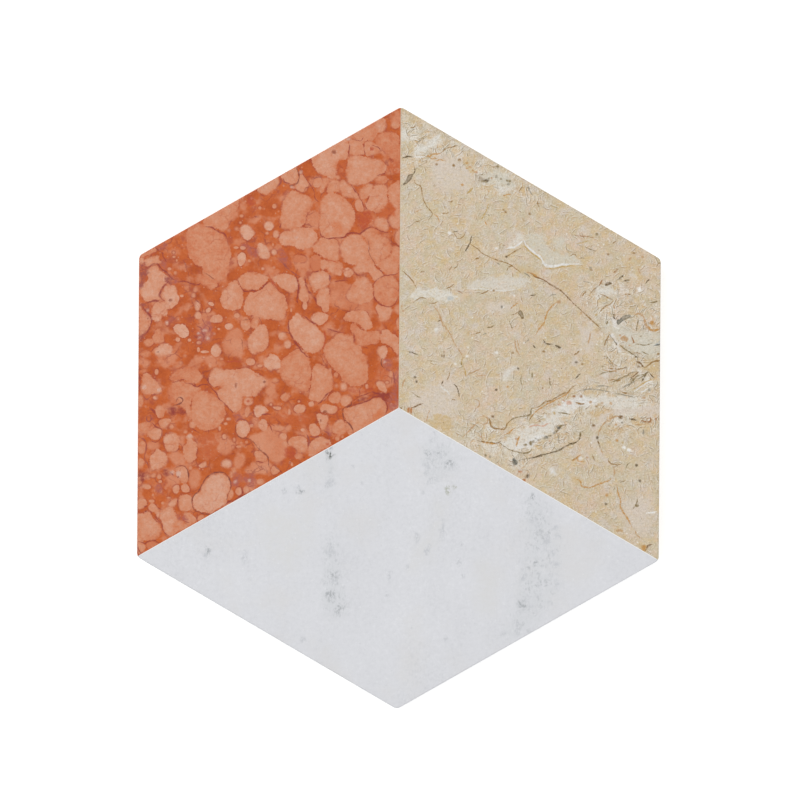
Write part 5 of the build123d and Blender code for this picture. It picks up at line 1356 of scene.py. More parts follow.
def worn_drop(plan, a, b):
    """How far small dents along its edges lower each point of a honed face."""
    to_joint = np.minimum(a, b) * SIDE
    to_edge = (1 - np.maximum(a, b)) * SIDE * math.cos(HALF_CORNER)
    to_pinhole = np.linalg.norm(plan - PINHOLE, axis=1)
    uneven = layered_noise(np.column_stack([plan, np.zeros(len(plan))]), DENT_NOISE)
    along_edges = dent(to_edge, *EDGE_DENTS) + dent(to_joint, *JOINT_DENTS)
    return np.clip(uneven - DENT_LEVEL, 0, 1) * along_edges + dent(to_pinhole, *PINHOLE_DENT)


def wall_rings():
    """Inset and height of each ring of vertices, from the bevel down to the broken edge of the back."""
    rings = [(inset * ARRIS, THICKNESS - drop * ARRIS) for inset, drop in ARRIS_STEPS]
    rings += [(0.0, height * (THICKNESS - ARRIS)) for height in WALL_HEIGHTS]
    return rings + [(0.0, BACK_BREAK)]


def mapped(shares, area):
    """Shares of a side as places in its area of the map."""
    return area[0] + shares * (area[1] - area[0])


def ring_map(around, upper, lower):
    """Places in the map of a ring of quads between two heights of the wall."""
    left = np.arange(around) / around
    right = left + 1 / around
    top = np.full(around, upper / THICKNESS)
    bottom = np.full(around, lower / THICKNESS)
    corners = [(left, top), (left, bottom), (right, bottom), (right, top)]
    return mapped(np.stack([np.stack(corner, axis=1) for corner in corners], axis=1), WALL_MAP)


def back_joins(fine, coarse):
    """Polygons that join the lowest ring of the wall to the coarser back, and their places in the map."""
    ratio = len(fine) // len(coarse)
    width = 1 / len(coarse)
    fine = np.append(fine, fine[0])
    polygons = []
    places = []
    for cell, (near, far) in enumerate(zip(coarse, np.roll(coarse, -1))):
        upper = fine[cell * ratio:(cell + 1) * ratio + 1]
        polygons.append([near, far, *upper[::-1]])
        left = cell * width
        edge = [(left, 0), (left + width, 0)]
        edge += [(left + width * step / ratio, BACK_BREAK / THICKNESS) for step in range(ratio, -1, -1)]
        places.append(mapped(np.array(edge), WALL_MAP))
    return polygons, places


def stone_mesh(name, turn):
    """A stone as a closed mesh in metres, with a map for baking, its points and their sides."""
    # The honed face
    a, b = grid_shares(FINE_CELLS)
    top = rhombus(a, b, turn, ARRIS)
    points = [np.column_stack([top, THICKNESS - worn_drop(top, a, b)])]
    sides = [np.tile([1.0, 0.0, 0.0], (len(top), 1))]
    quads, shares = grid_quads(FINE_CELLS, False)
    faces = [quads]
    maps = [mapped(shares, TOP_MAP)]

    # The bevel and the wall, ring by ring
    around = 4 * FINE_CELLS
    loop_a, loop_b = loop_shares(FINE_CELLS)
    previous = loop_index(FINE_CELLS)
    previous_height = THICKNESS
    rim = points[0][previous, 2]
    total = len(top)
    for number, (inset, height) in enumerate(wall_rings()):
        ring = rhombus(loop_a, loop_b, turn, inset)
        heights = np.full(around, height)
        if number == 0:
            heights = np.minimum(heights, rim - RIM_STEP)
        points.append(np.column_stack([ring, heights]))
        sawn = min(number / (len(ARRIS_STEPS) + 1), 1.0)
        sides.append(np.tile([1.0 - sawn, sawn, 0.0], (around, 1)))
        current = total + np.arange(around)
        faces.append(np.stack([previous, current, np.roll(current, -1), np.roll(previous, -1)], axis=1))
        maps.append(ring_map(around, previous_height, height))
        previous = current
        previous_height = height
        total += around

    # The sawn back
    back = rhombus(*grid_shares(COARSE_CELLS), turn, BACK_BREAK)
    points.append(np.column_stack([back, np.zeros(len(back))]))
    sides.append(np.tile([0.0, 0.0, 1.0], (len(back), 1)))
    quads, shares = grid_quads(COARSE_CELLS, True)
    faces.append(quads + total)
    maps.append(mapped(shares, BACK_MAP))
    joins, join_maps = back_joins(previous, total + loop_index(COARSE_CELLS))

    points = np.vstack(points)
    mesh = bpy.data.meshes.new(name)
    mesh.from_pydata((points / TO_MM).tolist(), [], np.vstack(faces).tolist() + joins)
    bake = mesh.uv_layers.new(name="OFBake")
    flat = np.concatenate([np.concatenate(maps).ravel(), *(edge.ravel() for edge in join_maps)])
    bake.data.foreach_set("uv", flat.astype(np.float32))
    mesh.shade_smooth()
    mesh.set_sharp_from_angle(angle=SMOOTH_BELOW)
    return mesh, points, np.vstack(sides)


def set_attribute(mesh, name, values):
    """Stores one value, vector or colour for each vertex."""
    kinds = {1: ("FLOAT", "value"), 3: ("FLOAT_VECTOR", "vector"), 4: ("FLOAT_COLOR", "color")}
    values = np.asarray(values, np.float32)
    kind, key = kinds[1 if values.ndim == 1 else values.shape[1]]
    mesh.attributes.new(name, kind, "POINT").data.foreach_set(key, values.ravel())


def store_lines(mesh, plan, lines):
    """Stores the lines of a stone, lane by lane."""
    for number, lane in enumerate(line_lanes(lines)):
        across, weight, half, colours = line_fields(plan, lane)
        set_attribute(mesh, f"line_{number}", np.stack([across, weight, half], axis=1))
        set_attribute(mesh, f"line_colour_{number}", colours)


def store_stains(mesh, name, plan, depth, stains):
    """Stores the weight and colour of a stone's stains under a name."""
    weight, colours = stain_fields(plan, depth, stains)
    set_attribute(mesh, name, weight)
    set_attribute(mesh, f"{name}_colour", colours)


# Materials: colours are as displayed, 0 to 255, and a pattern's scale is in turns per millimetre

# Ramps: places and colours
RED_GROUND = [(0.25, (165, 69, 14)), (0.42, (182, 82, 24)), (0.58, (192, 93, 37)), (0.75, (201, 116, 74))]
RED_GHOST = [(0.3, (200, 118, 80)), (0.7, (207, 140, 108))]
RED_NODULE = [
    (0.0, (197, 113, 75)), (0.35, (203, 131, 96)), (0.65, (206, 142, 111)), (1.0, (210, 157, 131))]
CREAM_GROUND = [
    (0.1, (184, 161, 127)), (0.38, (199, 181, 151)), (0.62, (205, 189, 163)), (0.9, (213, 202, 184))]
WHITE_GROUND = [
    (0.1, (207, 208, 212)), (0.4, (214, 215, 219)), (0.65, (217, 218, 222)), (0.9, (222, 223, 227))]

# Patches of the cream stone's ground, in honey, blush and sage: scale, shift and colour
CREAM_PATCHES = [
    (0.09, 40.0, (205, 177, 130)),
    (0.09, 80.0, (209, 185, 168)),
    (0.09, 120.0, (194, 186, 164)),
    (0.26, 33.0, (206, 180, 132)),
    (0.26, 53.0, (204, 195, 187)),
    (0.34, 73.0, (211, 187, 161)),
    (0.34, 93.0, (197, 184, 154)),
]

# Chalky, honey and grey patches where shell crowds: scale, shift, colour and strength
CREAM_SHELL_PATCHES = [
    (0.16, 14.0, (219, 214, 203), 0.75),
    (0.2, 28.0, (206, 170, 116), 0.6),
    (0.28, 46.0, (226, 223, 216), 0.65),
    (0.24, 64.0, (178, 168, 146), 0.55),
]

# Fibres of shell: scale, shift, width and colour
CREAM_FIBRES = [
    (0.55, 9.0, 0.045, (168, 138, 98)),
    (0.6, 57.0, 0.05, (222, 216, 204)),
    (0.85, 23.0, 0.05, (178, 150, 110)),
    (0.9, 91.0, 0.05, (219, 211, 197)),
]

# Threads of shell: scale, shift, reach, half width, share of the cells, where, colour and strength
CREAM_THREADS = [
    (0.62, 11.0, 0.66, 0.14, 0.8, "shelly", (166, 144, 108), 0.5),
    (0.66, 29.0, 0.60, 0.15, 0.8, "shelly", (174, 154, 120), 0.5),
    (0.58, 47.0, 0.72, 0.14, 0.7, "shelly", (160, 144, 114), 0.5),
    (0.36, 61.0, 1.2, 0.17, 0.45, "shelly", (188, 150, 104), 0.6),
    (0.30, 5.0, 1.5, 0.14, 0.5, "shelly", (140, 106, 66), 0.8),
    (0.20, 17.0, 2.4, 0.16, 0.4, "shelly", (136, 120, 90), 0.7),
    (0.34, 83.0, 1.7, 0.12, 0.7, "rich", (132, 108, 70), 0.8),
    (0.26, 97.0, 2.2, 0.12, 0.6, "rich", (120, 106, 76), 0.8),
]
THREAD_BAND = (222, 216, 206)  # the pale band beside a thread

# Specks of the cream stone: scale, shift, radius, share of the cells, where, colour and strength
CREAM_SPECKS = [
    (0.5, 2.0, 0.42, 0.2, "everywhere", (226, 222, 214), 0.7),
    (0.42, 21.0, 0.28, 0.15, "everywhere", (136, 106, 70), 0.7),
    (0.3, 35.0, 0.6, 0.25, "rich", (180, 128, 80), 0.6),
    (0.36, 49.0, 0.42, 0.2, "rich", (118, 98, 64), 0.7),
]

# Flecks of the white stone: spread and softness of the listed spots
FLECK_SPREAD = 1.6
FLECK_SOFTNESS = 0.8

# Noise and shifts of patterns
NOISE_GAIN = 2.4  # widens noise to about 1 each way from its middle
SHIFT = (1.0, 2.3, 0.7)
LEVEL_SHIFT = (1.0, 2.3, 0.0)

# Finish of the stones
WALL_SAW = (0.03, 0.03, 2.6)  # saw marks, in turns per millimetre along each axis
BACK_SAW = (0.02, 1.1, 0.02)
SAW_DEPTH = 2.6  # in the bump, beside the grain
HONED_GRAIN = 0.35  # grain in the bump of a honed face
SAWN_GRAIN = 2.2  # more of it where sawn
BUMP_DEPTH = 0.02  # millimetres
HONED_ROUGHNESS = 0.36
GRAIN_ROUGHNESS = 0.14  # more at the crests of the grain
SAWN_ROUGHNESS = 0.32  # more where sawn
STONE_SPECULAR = 0.3
RESIN_ROUGHNESS = 0.5


def socket_value(value):
    """A display colour as a socket takes it; anything else as it is."""
    if isinstance(value, tuple):
        return (*linear(value), 1.0)
    return value


class NodeNet:
    """The nodes of one material. Each method adds nodes and returns an output."""

    def __init__(self, name):
        self.material = bpy.data.materials.new(name)
        self.material.use_nodes = True
        self.tree = self.material.node_tree
        self.tree.nodes.clear()

    @functools.cached_property
    def place(self):
        """The shaded point, in millimetres from the middle of the tile."""
        return self.vector("SCALE", self.node("ShaderNodeTexCoord").outputs["Object"], scale=TO_MM)

    def node(self, kind, **settings):
        """Adds a node."""
        node = self.tree.nodes.new(kind)
        for key, value in settings.items():
            setattr(node, key, value)
        return node

    def feed(self, socket, value):
        """Links an output to a socket, or sets the socket to a value."""
        if isinstance(value, bpy.types.NodeSocket):
            self.tree.links.new(value, socket)
        else:
            socket.default_value = value

    def math(self, operation, *values, clamp=False):
        node = self.node("ShaderNodeMath", operation=operation, use_clamp=clamp)
        for socket, value in zip(node.inputs, values):
            self.feed(socket, value)
        return node.outputs[0]

    def total(self, *values):
        """The sum of several values."""
        return functools.reduce(functools.partial(self.math, "ADD"), values)

    def times(self, *values):
        """The product of several values."""
        return functools.reduce(functools.partial(self.math, "MULTIPLY"), values)

    def vector(self, operation, first, second=None, scale=None):
        node = self.node("ShaderNodeVectorMath", operation=operation)
        self.feed(node.inputs[0], first)
        if second is not None:
            self.feed(node.inputs[1], second)
        if scale is not None:
            self.feed(node.inputs["Scale"], scale)
        return node.outputs[0]

    def split(self, vector):
        """The three parts of a vector or colour."""
        node = self.node("ShaderNodeSeparateXYZ")
        self.feed(node.inputs[0], vector)
        return node.outputs

    def step(self, value, low, high, first=0.0, last=1.0):
        """Eases from first to last as value goes from low to high."""
        node = self.node("ShaderNodeMapRange", interpolation_type="SMOOTHSTEP")
        for socket, given in zip(node.inputs, (value, low, high, first, last)):
            self.feed(socket, given)
        return node.outputs[0]

    def mix(self, factor, first, second):
        """A mix of two colours, each a display colour or an output."""
        node = self.node("ShaderNodeMix", data_type="RGBA")
        self.feed(node.inputs[0], factor)
        self.feed(node.inputs[6], socket_value(first))
        self.feed(node.inputs[7], socket_value(second))
        return node.outputs[2]

    def ramp(self, value, stops):
        """A colour from a list of places and display colours."""
        node = self.node("ShaderNodeValToRGB")
        elements = node.color_ramp.elements
        while len(elements) < len(stops):
            elements.new(0.5)
        for element, (position, shade) in zip(elements, stops):
            element.position = position
            element.color = socket_value(shade)
        self.feed(node.inputs[0], value)
        return node.outputs[0]

    def attribute(self, name, output="Fac"):
        """What the mesh stores under a name."""
        return self.node("ShaderNodeAttribute", attribute_name=name).outputs[output]

    def elsewhere(self, shift, toward=SHIFT):
        """The place moved by a shift, so that a pattern shows another stretch of itself."""
        return self.vector("ADD", self.place, tuple(shift * part for part in toward))

    def noise(self, scale, detail=2.0, roughness=0.5, shift=None, distortion=0.0, place=None):
        """Noise from 0 to 1, here, at a shift or at a given place."""
        if shift is not None:
            place = self.elsewhere(shift)
        node = self.node("ShaderNodeTexNoise")
        self.feed(node.inputs["Vector"], self.place if place is None else place)
        settings = {"Scale": scale, "Detail": detail, "Roughness": roughness, "Distortion": distortion}
        for key, value in settings.items():
            self.feed(node.inputs[key], value)
        return node.outputs[0]

    def sway(self, amount, scale, detail=2.0, roughness=0.5, shift=None, place=None):
        """Noise about zero, from about -amount to amount."""
        centred = self.math("SUBTRACT", self.noise(scale, detail, roughness, shift, place=place), 0.5)
        return self.times(centred, NOISE_GAIN * amount)

    def swirled(self, place, scale, detail, amount):
        """A place moved about by noise, so that a pattern winds."""
        node = self.node("ShaderNodeTexNoise")
        for key, value in {"Vector": place, "Scale": scale, "Detail": detail}.items():
            self.feed(node.inputs[key], value)
        return self.vector("ADD", place, self.vector("SCALE", node.outputs["Color"], scale=amount))

    def voronoi(self, scale, place, dimensions="3D", feature="F1"):
        """The outputs of a pattern of cells."""
        node = self.node("ShaderNodeTexVoronoi", voronoi_dimensions=dimensions, feature=feature)
        self.feed(node.inputs["Vector"], place)
        self.feed(node.inputs["Scale"], scale)
        return node.outputs

    def patches(self, scale, shift, low, high, strength=1.0):
        """Soft patches of a noise, up to a strength."""
        return self.step(self.noise(scale, 3.0, shift=shift), low, high, 0.0, strength)

    def threads(self, scale, shift, reach, half, share):
        """Short curved threads, one in some of the cells of a pattern, and the pale band beside each."""
        x, y, z = self.split(self.elsewhere(shift, LEVEL_SHIFT))
        sheared = self.node("ShaderNodeCombineXYZ")
        self.feed(sheared.inputs[0], self.math("MULTIPLY_ADD", z, 0.8, x))
        self.feed(sheared.inputs[1], self.math("MULTIPLY_ADD", z, 0.55, y))
        cells = self.voronoi(scale, sheared.outputs[0], "2D")
        chance, bend, spin = self.split(cells["Color"])
        turn = self.node("ShaderNodeVectorRotate", rotation_type="Z_AXIS")
        self.feed(turn.inputs["Vector"], self.vector("SUBTRACT", sheared.outputs[0], cells["Position"]))
        self.feed(turn.inputs["Angle"], self.math("MULTIPLY_ADD", spin, -2.6, 0.5))
        along, across, _ = self.split(turn.outputs[0])
        curve = self.times(self.math("MULTIPLY_ADD", bend, 0.6, -0.3), along, along)
        offset = self.total(across, curve, self.sway(0.12, 1.2))
        kept = self.step(self.math("ABSOLUTE", along), 0.5 * reach, reach, 1.0, 0.0)
        kept = self.times(kept, self.step(chance, 1.0 - share, 1.05 - share))
        bands = []
        for aside in (0.0, 2.4 * half):
            gap = self.math("ABSOLUTE", self.math("SUBTRACT", offset, aside))
            bands.append(self.times(kept, self.step(gap, 0.3 * half, 1.7 * half, 1.0, 0.0)))
        return bands

    def fibres(self, scale, shift, width):
        """Thin winding fibres that fill the stone, along the level lines of a noise."""
        level = self.noise(scale, 3.0, 0.55, shift, distortion=1.2)
        gap = self.math("ABSOLUTE", self.math("SUBTRACT", level, 0.5))
        return self.step(gap, 0.2 * width, width, 1.0, 0.0)

    def cracks(self, scale, shift, width):
        """Thin cracks between the swirled cells of a pattern."""
        place = self.swirled(self.elsewhere(shift), 0.35, 4.0, 3.2)
        edge = self.voronoi(scale, place, feature="DISTANCE_TO_EDGE")["Distance"]
        return self.step(edge, 0.2 * width * scale, width * scale, 1.0, 0.0)

    def specks(self, scale, shift, radius, share):
        """Small specks, one in some of the cells of a pattern."""
        cells = self.voronoi(scale, self.elsewhere(shift))
        chance, size, _ = self.split(cells["Color"])
        outer = self.math("MULTIPLY", self.math("MULTIPLY_ADD", size, 0.7, 0.5), radius * scale)
        gap = self.math("ADD", cells["Distance"], self.sway(0.12 * radius, 1.6))
        inside = self.step(gap, self.math("MULTIPLY", outer, 0.5), outer, 1.0, 0.0)
        return self.times(inside, self.step(chance, 1.0 - share, 1.02 - share))

    def lines(self, base, wobble, breadth, strength):
        """Draws the stored lines over a colour."""
        for number in range(LANES):
            across, weight, half = self.split(self.attribute(f"line_{number}", "Vector"))
            across = self.math("ABSOLUTE", self.total(across, wobble))
            half = self.times(half, breadth)
            drawn = self.step(across, self.times(half, 0.2), self.total(half, 0.11), 1.0, 0.0)
            ink = self.attribute(f"line_colour_{number}", "Color")
            base = self.mix(self.times(weight, drawn, strength), base, ink)
        return base

    def stains(self, base, name, strength):
        """Lays the stored stains over a colour."""
        weight = self.times(self.attribute(name), strength)
        return self.mix(weight, base, self.attribute(f"{name}_colour", "Color"))

    def grained(self, base, amount):
        """Lightens and darkens a colour by fine crystals."""
        grain = self.total(self.sway(amount, 1.3, 3.0, 0.65), self.sway(0.7 * amount, 2.9, 2.0))
        return self.vector("SCALE", base, scale=self.total(grain, 1.0))

    def ended(self, shader):
        """The material, ending in a shader."""
        output = self.node("ShaderNodeOutputMaterial")
        self.tree.links.new(shader.outputs[0], output.inputs["Surface"])
        return self.material

    def finish(self, base, dust):
        """The material of a stone: honed face, dusty saw marks on the walls and back, grain and pits."""
        honed, wall, back = self.split(self.attribute("sides", "Vector"))
        sawn = self.math("SUBTRACT", 1.0, honed, clamp=True)
        saw_marks = []
        for saw, side in ((WALL_SAW, wall), (BACK_SAW, back)):
            drawn_out = self.vector("MULTIPLY", self.place, saw)
            saw_marks.append(self.times(self.noise(1.0, 3.0, 0.7, place=drawn_out), side))
        marks = self.total(*saw_marks)
        powder = self.times(sawn, self.step(marks, 0.35, 0.7, 0.1, 0.34))

        grain = self.noise(2.2, 4.0, 0.65)
        pits = self.specks(0.9, 31.0, 0.16, 0.25)
        rough_grain = self.times(grain, self.math("MULTIPLY_ADD", sawn, SAWN_GRAIN, HONED_GRAIN))
        bump = self.node("ShaderNodeBump")
        bump.inputs["Strength"].default_value = 1.0
        bump.inputs["Distance"].default_value = BUMP_DEPTH / TO_MM
        height = self.math("SUBTRACT", self.total(rough_grain, self.times(marks, SAW_DEPTH)), pits)
        self.feed(bump.inputs["Height"], height)

        roughness = self.math("MULTIPLY_ADD", grain, GRAIN_ROUGHNESS, HONED_ROUGHNESS)
        roughness = self.math("MULTIPLY_ADD", sawn, SAWN_ROUGHNESS, roughness)
        shader = self.node("ShaderNodeBsdfPrincipled")
        shader.inputs["Specular IOR Level"].default_value = STONE_SPECULAR
        self.feed(shader.inputs["Base Color"], self.mix(powder, base, dust))
        self.feed(shader.inputs["Roughness"], roughness)
        self.feed(shader.inputs["Normal"], bump.outputs[0])
        return self.ended(shader)


def red_material():
    """Salmon nodules in an orange-red ground."""
    net = NodeNet("red_marble")

    # Nodules: those listed for the face, and others inside the stone for its walls and back
    traced = net.attribute("nodule")
    traced_tone = net.attribute("nodule_tone")
    depth = net.math("SUBTRACT", THICKNESS, net.split(net.place)[2])
    cells = net.voronoi(0.13, net.swirled(net.place, 0.2, 2.0, 5.0))
    hidden = net.step(depth, 0.8, 3.5, 30.0, 0.0)
    buried = net.math("SUBTRACT", net.math("MULTIPLY_ADD", cells["Distance"], -7.0, 3.4), hidden)
    buried_tone = net.math("MULTIPLY_ADD", net.split(cells["Color"])[0], 0.4, -0.1)
    is_buried = net.step(net.math("SUBTRACT", buried, traced), -0.2, 0.2)
    tone_change = net.math("SUBTRACT", buried_tone, traced_tone)
    tone = net.math("MULTIPLY_ADD", is_buried, tone_change, traced_tone)
    ragged = net.total(net.sway(0.9, 0.45, 4.0, 0.65), net.sway(0.5, 1.6, 3.0))
    ragged = net.times(ragged, net.attribute("nodule_ragged"))
    into = net.total(net.math("MAXIMUM", traced, buried), ragged)
    soft = net.step(net.noise(0.1, shift=12.0), 0.42, 0.66, 0.14, 0.8)
    inside = net.step(into, net.times(soft, -1.0), soft)

    # The ground between them, with clouds, smudges and the ghosts of other nodules
    shade = net.total(net.noise(0.12, 5.0, 0.62), net.sway(0.14, 1.1, 3.0))
    ground = net.ramp(shade, RED_GROUND)
    ground = net.mix(net.patches(0.16, 21.0, 0.48, 0.68, 0.9), ground, (205, 132, 98))
    smudges = net.step(net.noise(0.22, 5.0, 0.65, shift=50.0), 0.52, 0.7, 0.0, 0.6)
    ground = net.mix(smudges, ground, (160, 70, 50))
    ghost = net.step(net.total(net.attribute("ghost"), ragged), -0.8, 0.8)
    ghost = net.math("MULTIPLY", ghost, net.times(net.attribute("ghost_tone"), 1.3), clamp=True)
    ground = net.mix(ghost, ground, net.ramp(shade, RED_GHOST))

    # Gravel, cracks and dark rims in the ground
    gravel = net.times(net.specks(0.42, 3.0, 0.62, 0.5), net.patches(0.2, 8.0, 0.4, 0.65), 0.6)
    ground = net.mix(gravel, ground, (203, 130, 98))
    ground = net.mix(net.times(net.specks(0.7, 19.0, 0.36, 0.25), 0.55), ground, (206, 150, 126))
    cracks = net.times(net.cracks(0.16, 27.0, 0.28), net.patches(0.12, 33.0, 0.48, 0.62), 0.55)
    ground = net.mix(cracks, ground, (140, 58, 48))
    rim = net.times(net.step(into, -0.8, -0.1), net.step(into, -0.1, 0.2, 1.0, 0.0))
    rim = net.times(rim, net.patches(0.3, 5.0, 0.42, 0.62, 0.6))
    ground = net.mix(rim, ground, (150, 58, 42))

    # Inside a nodule
    broad_blotches = net.sway(0.4, 0.17, 4.0, 0.6, shift=40.0)
    fine_blotches = net.sway(0.75, 0.6, 5.0, 0.7, shift=6.0)
    toward_middle = net.step(into, 0.2, 3.5, 0.0, 0.2)
    toned = net.math("MULTIPLY_ADD", tone, 1.4, 0.3)
    paleness = net.total(toned, toward_middle, broad_blotches, fine_blotches)
    nodule = net.ramp(paleness, RED_NODULE)
    veins = net.times(net.cracks(0.13, 71.0, 0.2), net.patches(0.1, 44.0, 0.5, 0.64), 0.45)
    nodule = net.mix(veins, nodule, (176, 88, 60))
    base = net.mix(inside, ground, nodule)

    # Listed marks
    base = net.stains(base, "stain", net.step(net.noise(0.7, 4.0, 0.65), 0.34, 0.6, 0.2, 0.9))
    wobble = net.total(net.sway(0.26, 0.6, 3.0), net.sway(0.1, 2.2))
    breadth = net.step(net.noise(0.4, 3.0, shift=15.0), 0.3, 0.7, 0.2, 1.3)
    strength = net.step(net.noise(0.55, 3.0, shift=70.0), 0.3, 0.58, 0.3, 0.9)
    base = net.lines(base, wobble, breadth, strength)
    base = net.stains(base, "spot", net.step(net.noise(1.2, 3.0), 0.3, 0.6, 0.55, 0.9))
    return net.finish(net.grained(base, 0.13), (212, 170, 150))


def cream_material():
    """Cream stone full of fibres, threads and chips of shell."""
    net = NodeNet("cream_marble")
    rich = net.attribute("zone")
    places = {"everywhere": 1.0, "shelly": net.math("MULTIPLY_ADD", rich, 0.3, 0.7), "rich": rich}

    # The ground and its patches
    broad = net.math("MULTIPLY_ADD", net.noise(0.05, 3.0), 0.6, 0.2)
    shade = net.total(broad, net.sway(0.3, 0.32, 5.0, 0.65), net.sway(0.2, 1.1, 4.0, 0.7, shift=4.0))
    base = net.ramp(shade, CREAM_GROUND)
    for scale, shift, tint in CREAM_PATCHES:
        base = net.mix(net.step(net.noise(scale, 3.0, 0.55, shift), 0.48, 0.66, 0.0, 0.65), base, tint)
    for scale, shift, tint, strength in CREAM_SHELL_PATCHES:
        patch = net.step(net.noise(scale, 5.0, 0.68, shift), 0.5, 0.62)
        base = net.mix(net.times(patch, rich, strength), base, tint)

    # Fibres, threads and specks of shell, and the stains among them
    for scale, shift, width, ink in CREAM_FIBRES:
        patchy = net.step(net.noise(0.3, 4.0, 0.65, shift + 5.0), 0.46, 0.66, 0.0, 0.7)
        base = net.mix(net.times(net.fibres(scale, shift, width), patchy, places["shelly"]), base, ink)
    for scale, shift, reach, half, share, where, ink, strength in CREAM_THREADS:
        patchy = net.step(net.noise(0.2, 4.0, 0.65, shift), 0.38, 0.58)
        shown = net.times(patchy, places[where], strength)
        dark, pale = net.threads(scale, shift, reach, half, share)
        base = net.mix(net.times(pale, shown), base, THREAD_BAND)
        base = net.mix(net.times(dark, shown), base, ink)
    base = net.stains(base, "stain", net.step(net.noise(0.8, 4.0, 0.65), 0.3, 0.6, 0.3, 0.85))
    for scale, shift, radius, share, where, ink, strength in CREAM_SPECKS:
        specks = net.specks(scale, shift, radius, share)
        base = net.mix(net.times(specks, places[where], strength), base, ink)

    # Listed marks
    wobble = net.total(net.sway(0.26, 0.7, 3.0), net.sway(0.1, 2.2))
    breadth = net.step(net.noise(0.6, 3.0, shift=15.0), 0.3, 0.7, 0.55, 1.5)
    strength = net.step(net.noise(1.1, 3.0, shift=70.0), 0.3, 0.56, 0.35, 1.0)
    base = net.lines(base, wobble, breadth, strength)
    chip = net.total(net.attribute("chip"), net.sway(0.2, 1.5))
    chip_rim = net.attribute("chip_rim", "Color")
    chip_middle = net.attribute("chip_middle", "Color")
    solid = net.step(net.noise(0.5, 4.0, 0.65, shift=36.0), 0.36, 0.6, 0.55, 1.0)
    chip_colour = net.mix(net.step(chip, 0.1, 0.6), chip_rim, chip_middle)
    base = net.mix(net.times(net.step(chip, -0.2, 0.15), solid), base, chip_colour)
    base = net.stains(base, "spot", net.step(net.noise(1.5, 3.0), 0.3, 0.55, 0.55, 1.0))
    return net.finish(net.grained(base, 0.24), (218, 210, 196))


def white_material():
    """White stone with faint clouds and grey flecks."""
    net = NodeNet("white_marble")
    drawn_out = net.vector("MULTIPLY", net.place, (1.0, 0.45, 1.0))
    streaked = net.vector("MULTIPLY", net.elsewhere(60.0), (1.0, 0.6, 1.0))

    # The ground: white, in faint clouds drawn out along Y
    broad = net.math("MULTIPLY_ADD", net.noise(0.04, 3.0), 0.6, 0.2)
    shade = net.total(broad, net.sway(0.26, 0.1, 5.0, 0.6, place=drawn_out), net.sway(0.6, 0.6, 5.0, 0.7))
    base = net.ramp(shade, WHITE_GROUND)
    warm = net.step(net.noise(0.05, 4.0, 0.6, 30.0), 0.45, 0.7, 0.0, 0.55)
    base = net.mix(warm, base, (214, 213, 213))

    # Grey flecks: crowded in the listed stains and spots, few elsewhere
    peppered = net.step(net.noise(1.1, 4.0, 0.66, place=streaked), 0.45, 0.7)
    base = net.stains(base, "stain", net.step(net.noise(0.45, 4.0, 0.65), 0.3, 0.65, 0.2, 0.8))
    clusters = net.step(net.noise(0.28, 4.0, 0.65, shift=90.0), 0.4, 0.62, 0.05, 0.75)
    base = net.mix(net.times(peppered, net.attribute("stain_dark"), clusters), base, (176, 179, 182))
    crowd = net.step(net.noise(0.06, 3.0, place=drawn_out), 0.48, 0.7)
    base = net.mix(net.times(crowd, peppered, 0.3), base, (192, 194, 198))
    base = net.mix(net.times(net.specks(0.5, 14.0, 0.4, 0.25), 0.25), base, (194, 196, 200))
    base = net.mix(net.times(net.specks(0.6, 44.0, 0.4, 0.3), 0.4), base, (228, 229, 231))
    base = net.stains(base, "spot", net.step(net.noise(1.7, 3.0, 0.6, place=streaked), 0.4, 0.6, 0.05, 1.0))
    return net.finish(net.grained(base, 0.024), (226, 226, 226))


def resin_material():
    """Cloudy resin: white beside the white stone, cream between the other two."""
    net = NodeNet("joint_resin")
    cloudy = net.noise(2.0, 4.0, 0.6)
    beside_white = net.mix(cloudy, (224, 224, 222), (244, 244, 242))
    beside_cream = net.mix(cloudy, (184, 168, 140), (208, 196, 174))
    upper_arm = net.step(net.split(net.place)[1], 0.0, 1.0)
    shader = net.node("ShaderNodeBsdfPrincipled")
    shader.inputs["Roughness"].default_value = RESIN_ROUGHNESS
    net.feed(shader.inputs["Base Color"], net.mix(upper_arm, beside_white, beside_cream))
    return net.ended(shader)


# The stones


def spots_as_stains(spots, spread=1.0, soft=SPOT_SOFTNESS):
    """Spots as round stains, their width and height times the spread."""
    stains = []
    for ink, x, y, width, height in spots:
        stains.append((ink, soft, ellipse(x, y, width * spread, height * spread)))
    return stains


def begin_stone(name):
    """A stone's mesh, with the plan of its marks, which drifts with depth, and the depth."""
    mesh, points, sides = stone_mesh(f"{name}_marble_honed", TURNS[name])
    set_attribute(mesh, "sides", sides)
    depth = np.maximum(THICKNESS - points[:, 2] - ARRIS, 0)
    drift = np.stack([layered_noise(points, [layer]) for layer in DRIFT_NOISE], axis=1)
    return mesh, points[:, :2] + drift * depth[:, None], depth


def end_stone(name, mesh, material):
    """Puts a dressed stone in the place of its solid."""
    mesh.materials.append(material)
    piece = bpy.data.objects.new(f"{name}_marble_honed", mesh)
    bpy.context.scene.collection.objects.link(piece)
    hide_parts(f"{name}_marble_rhombus")
    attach(piece, "root")


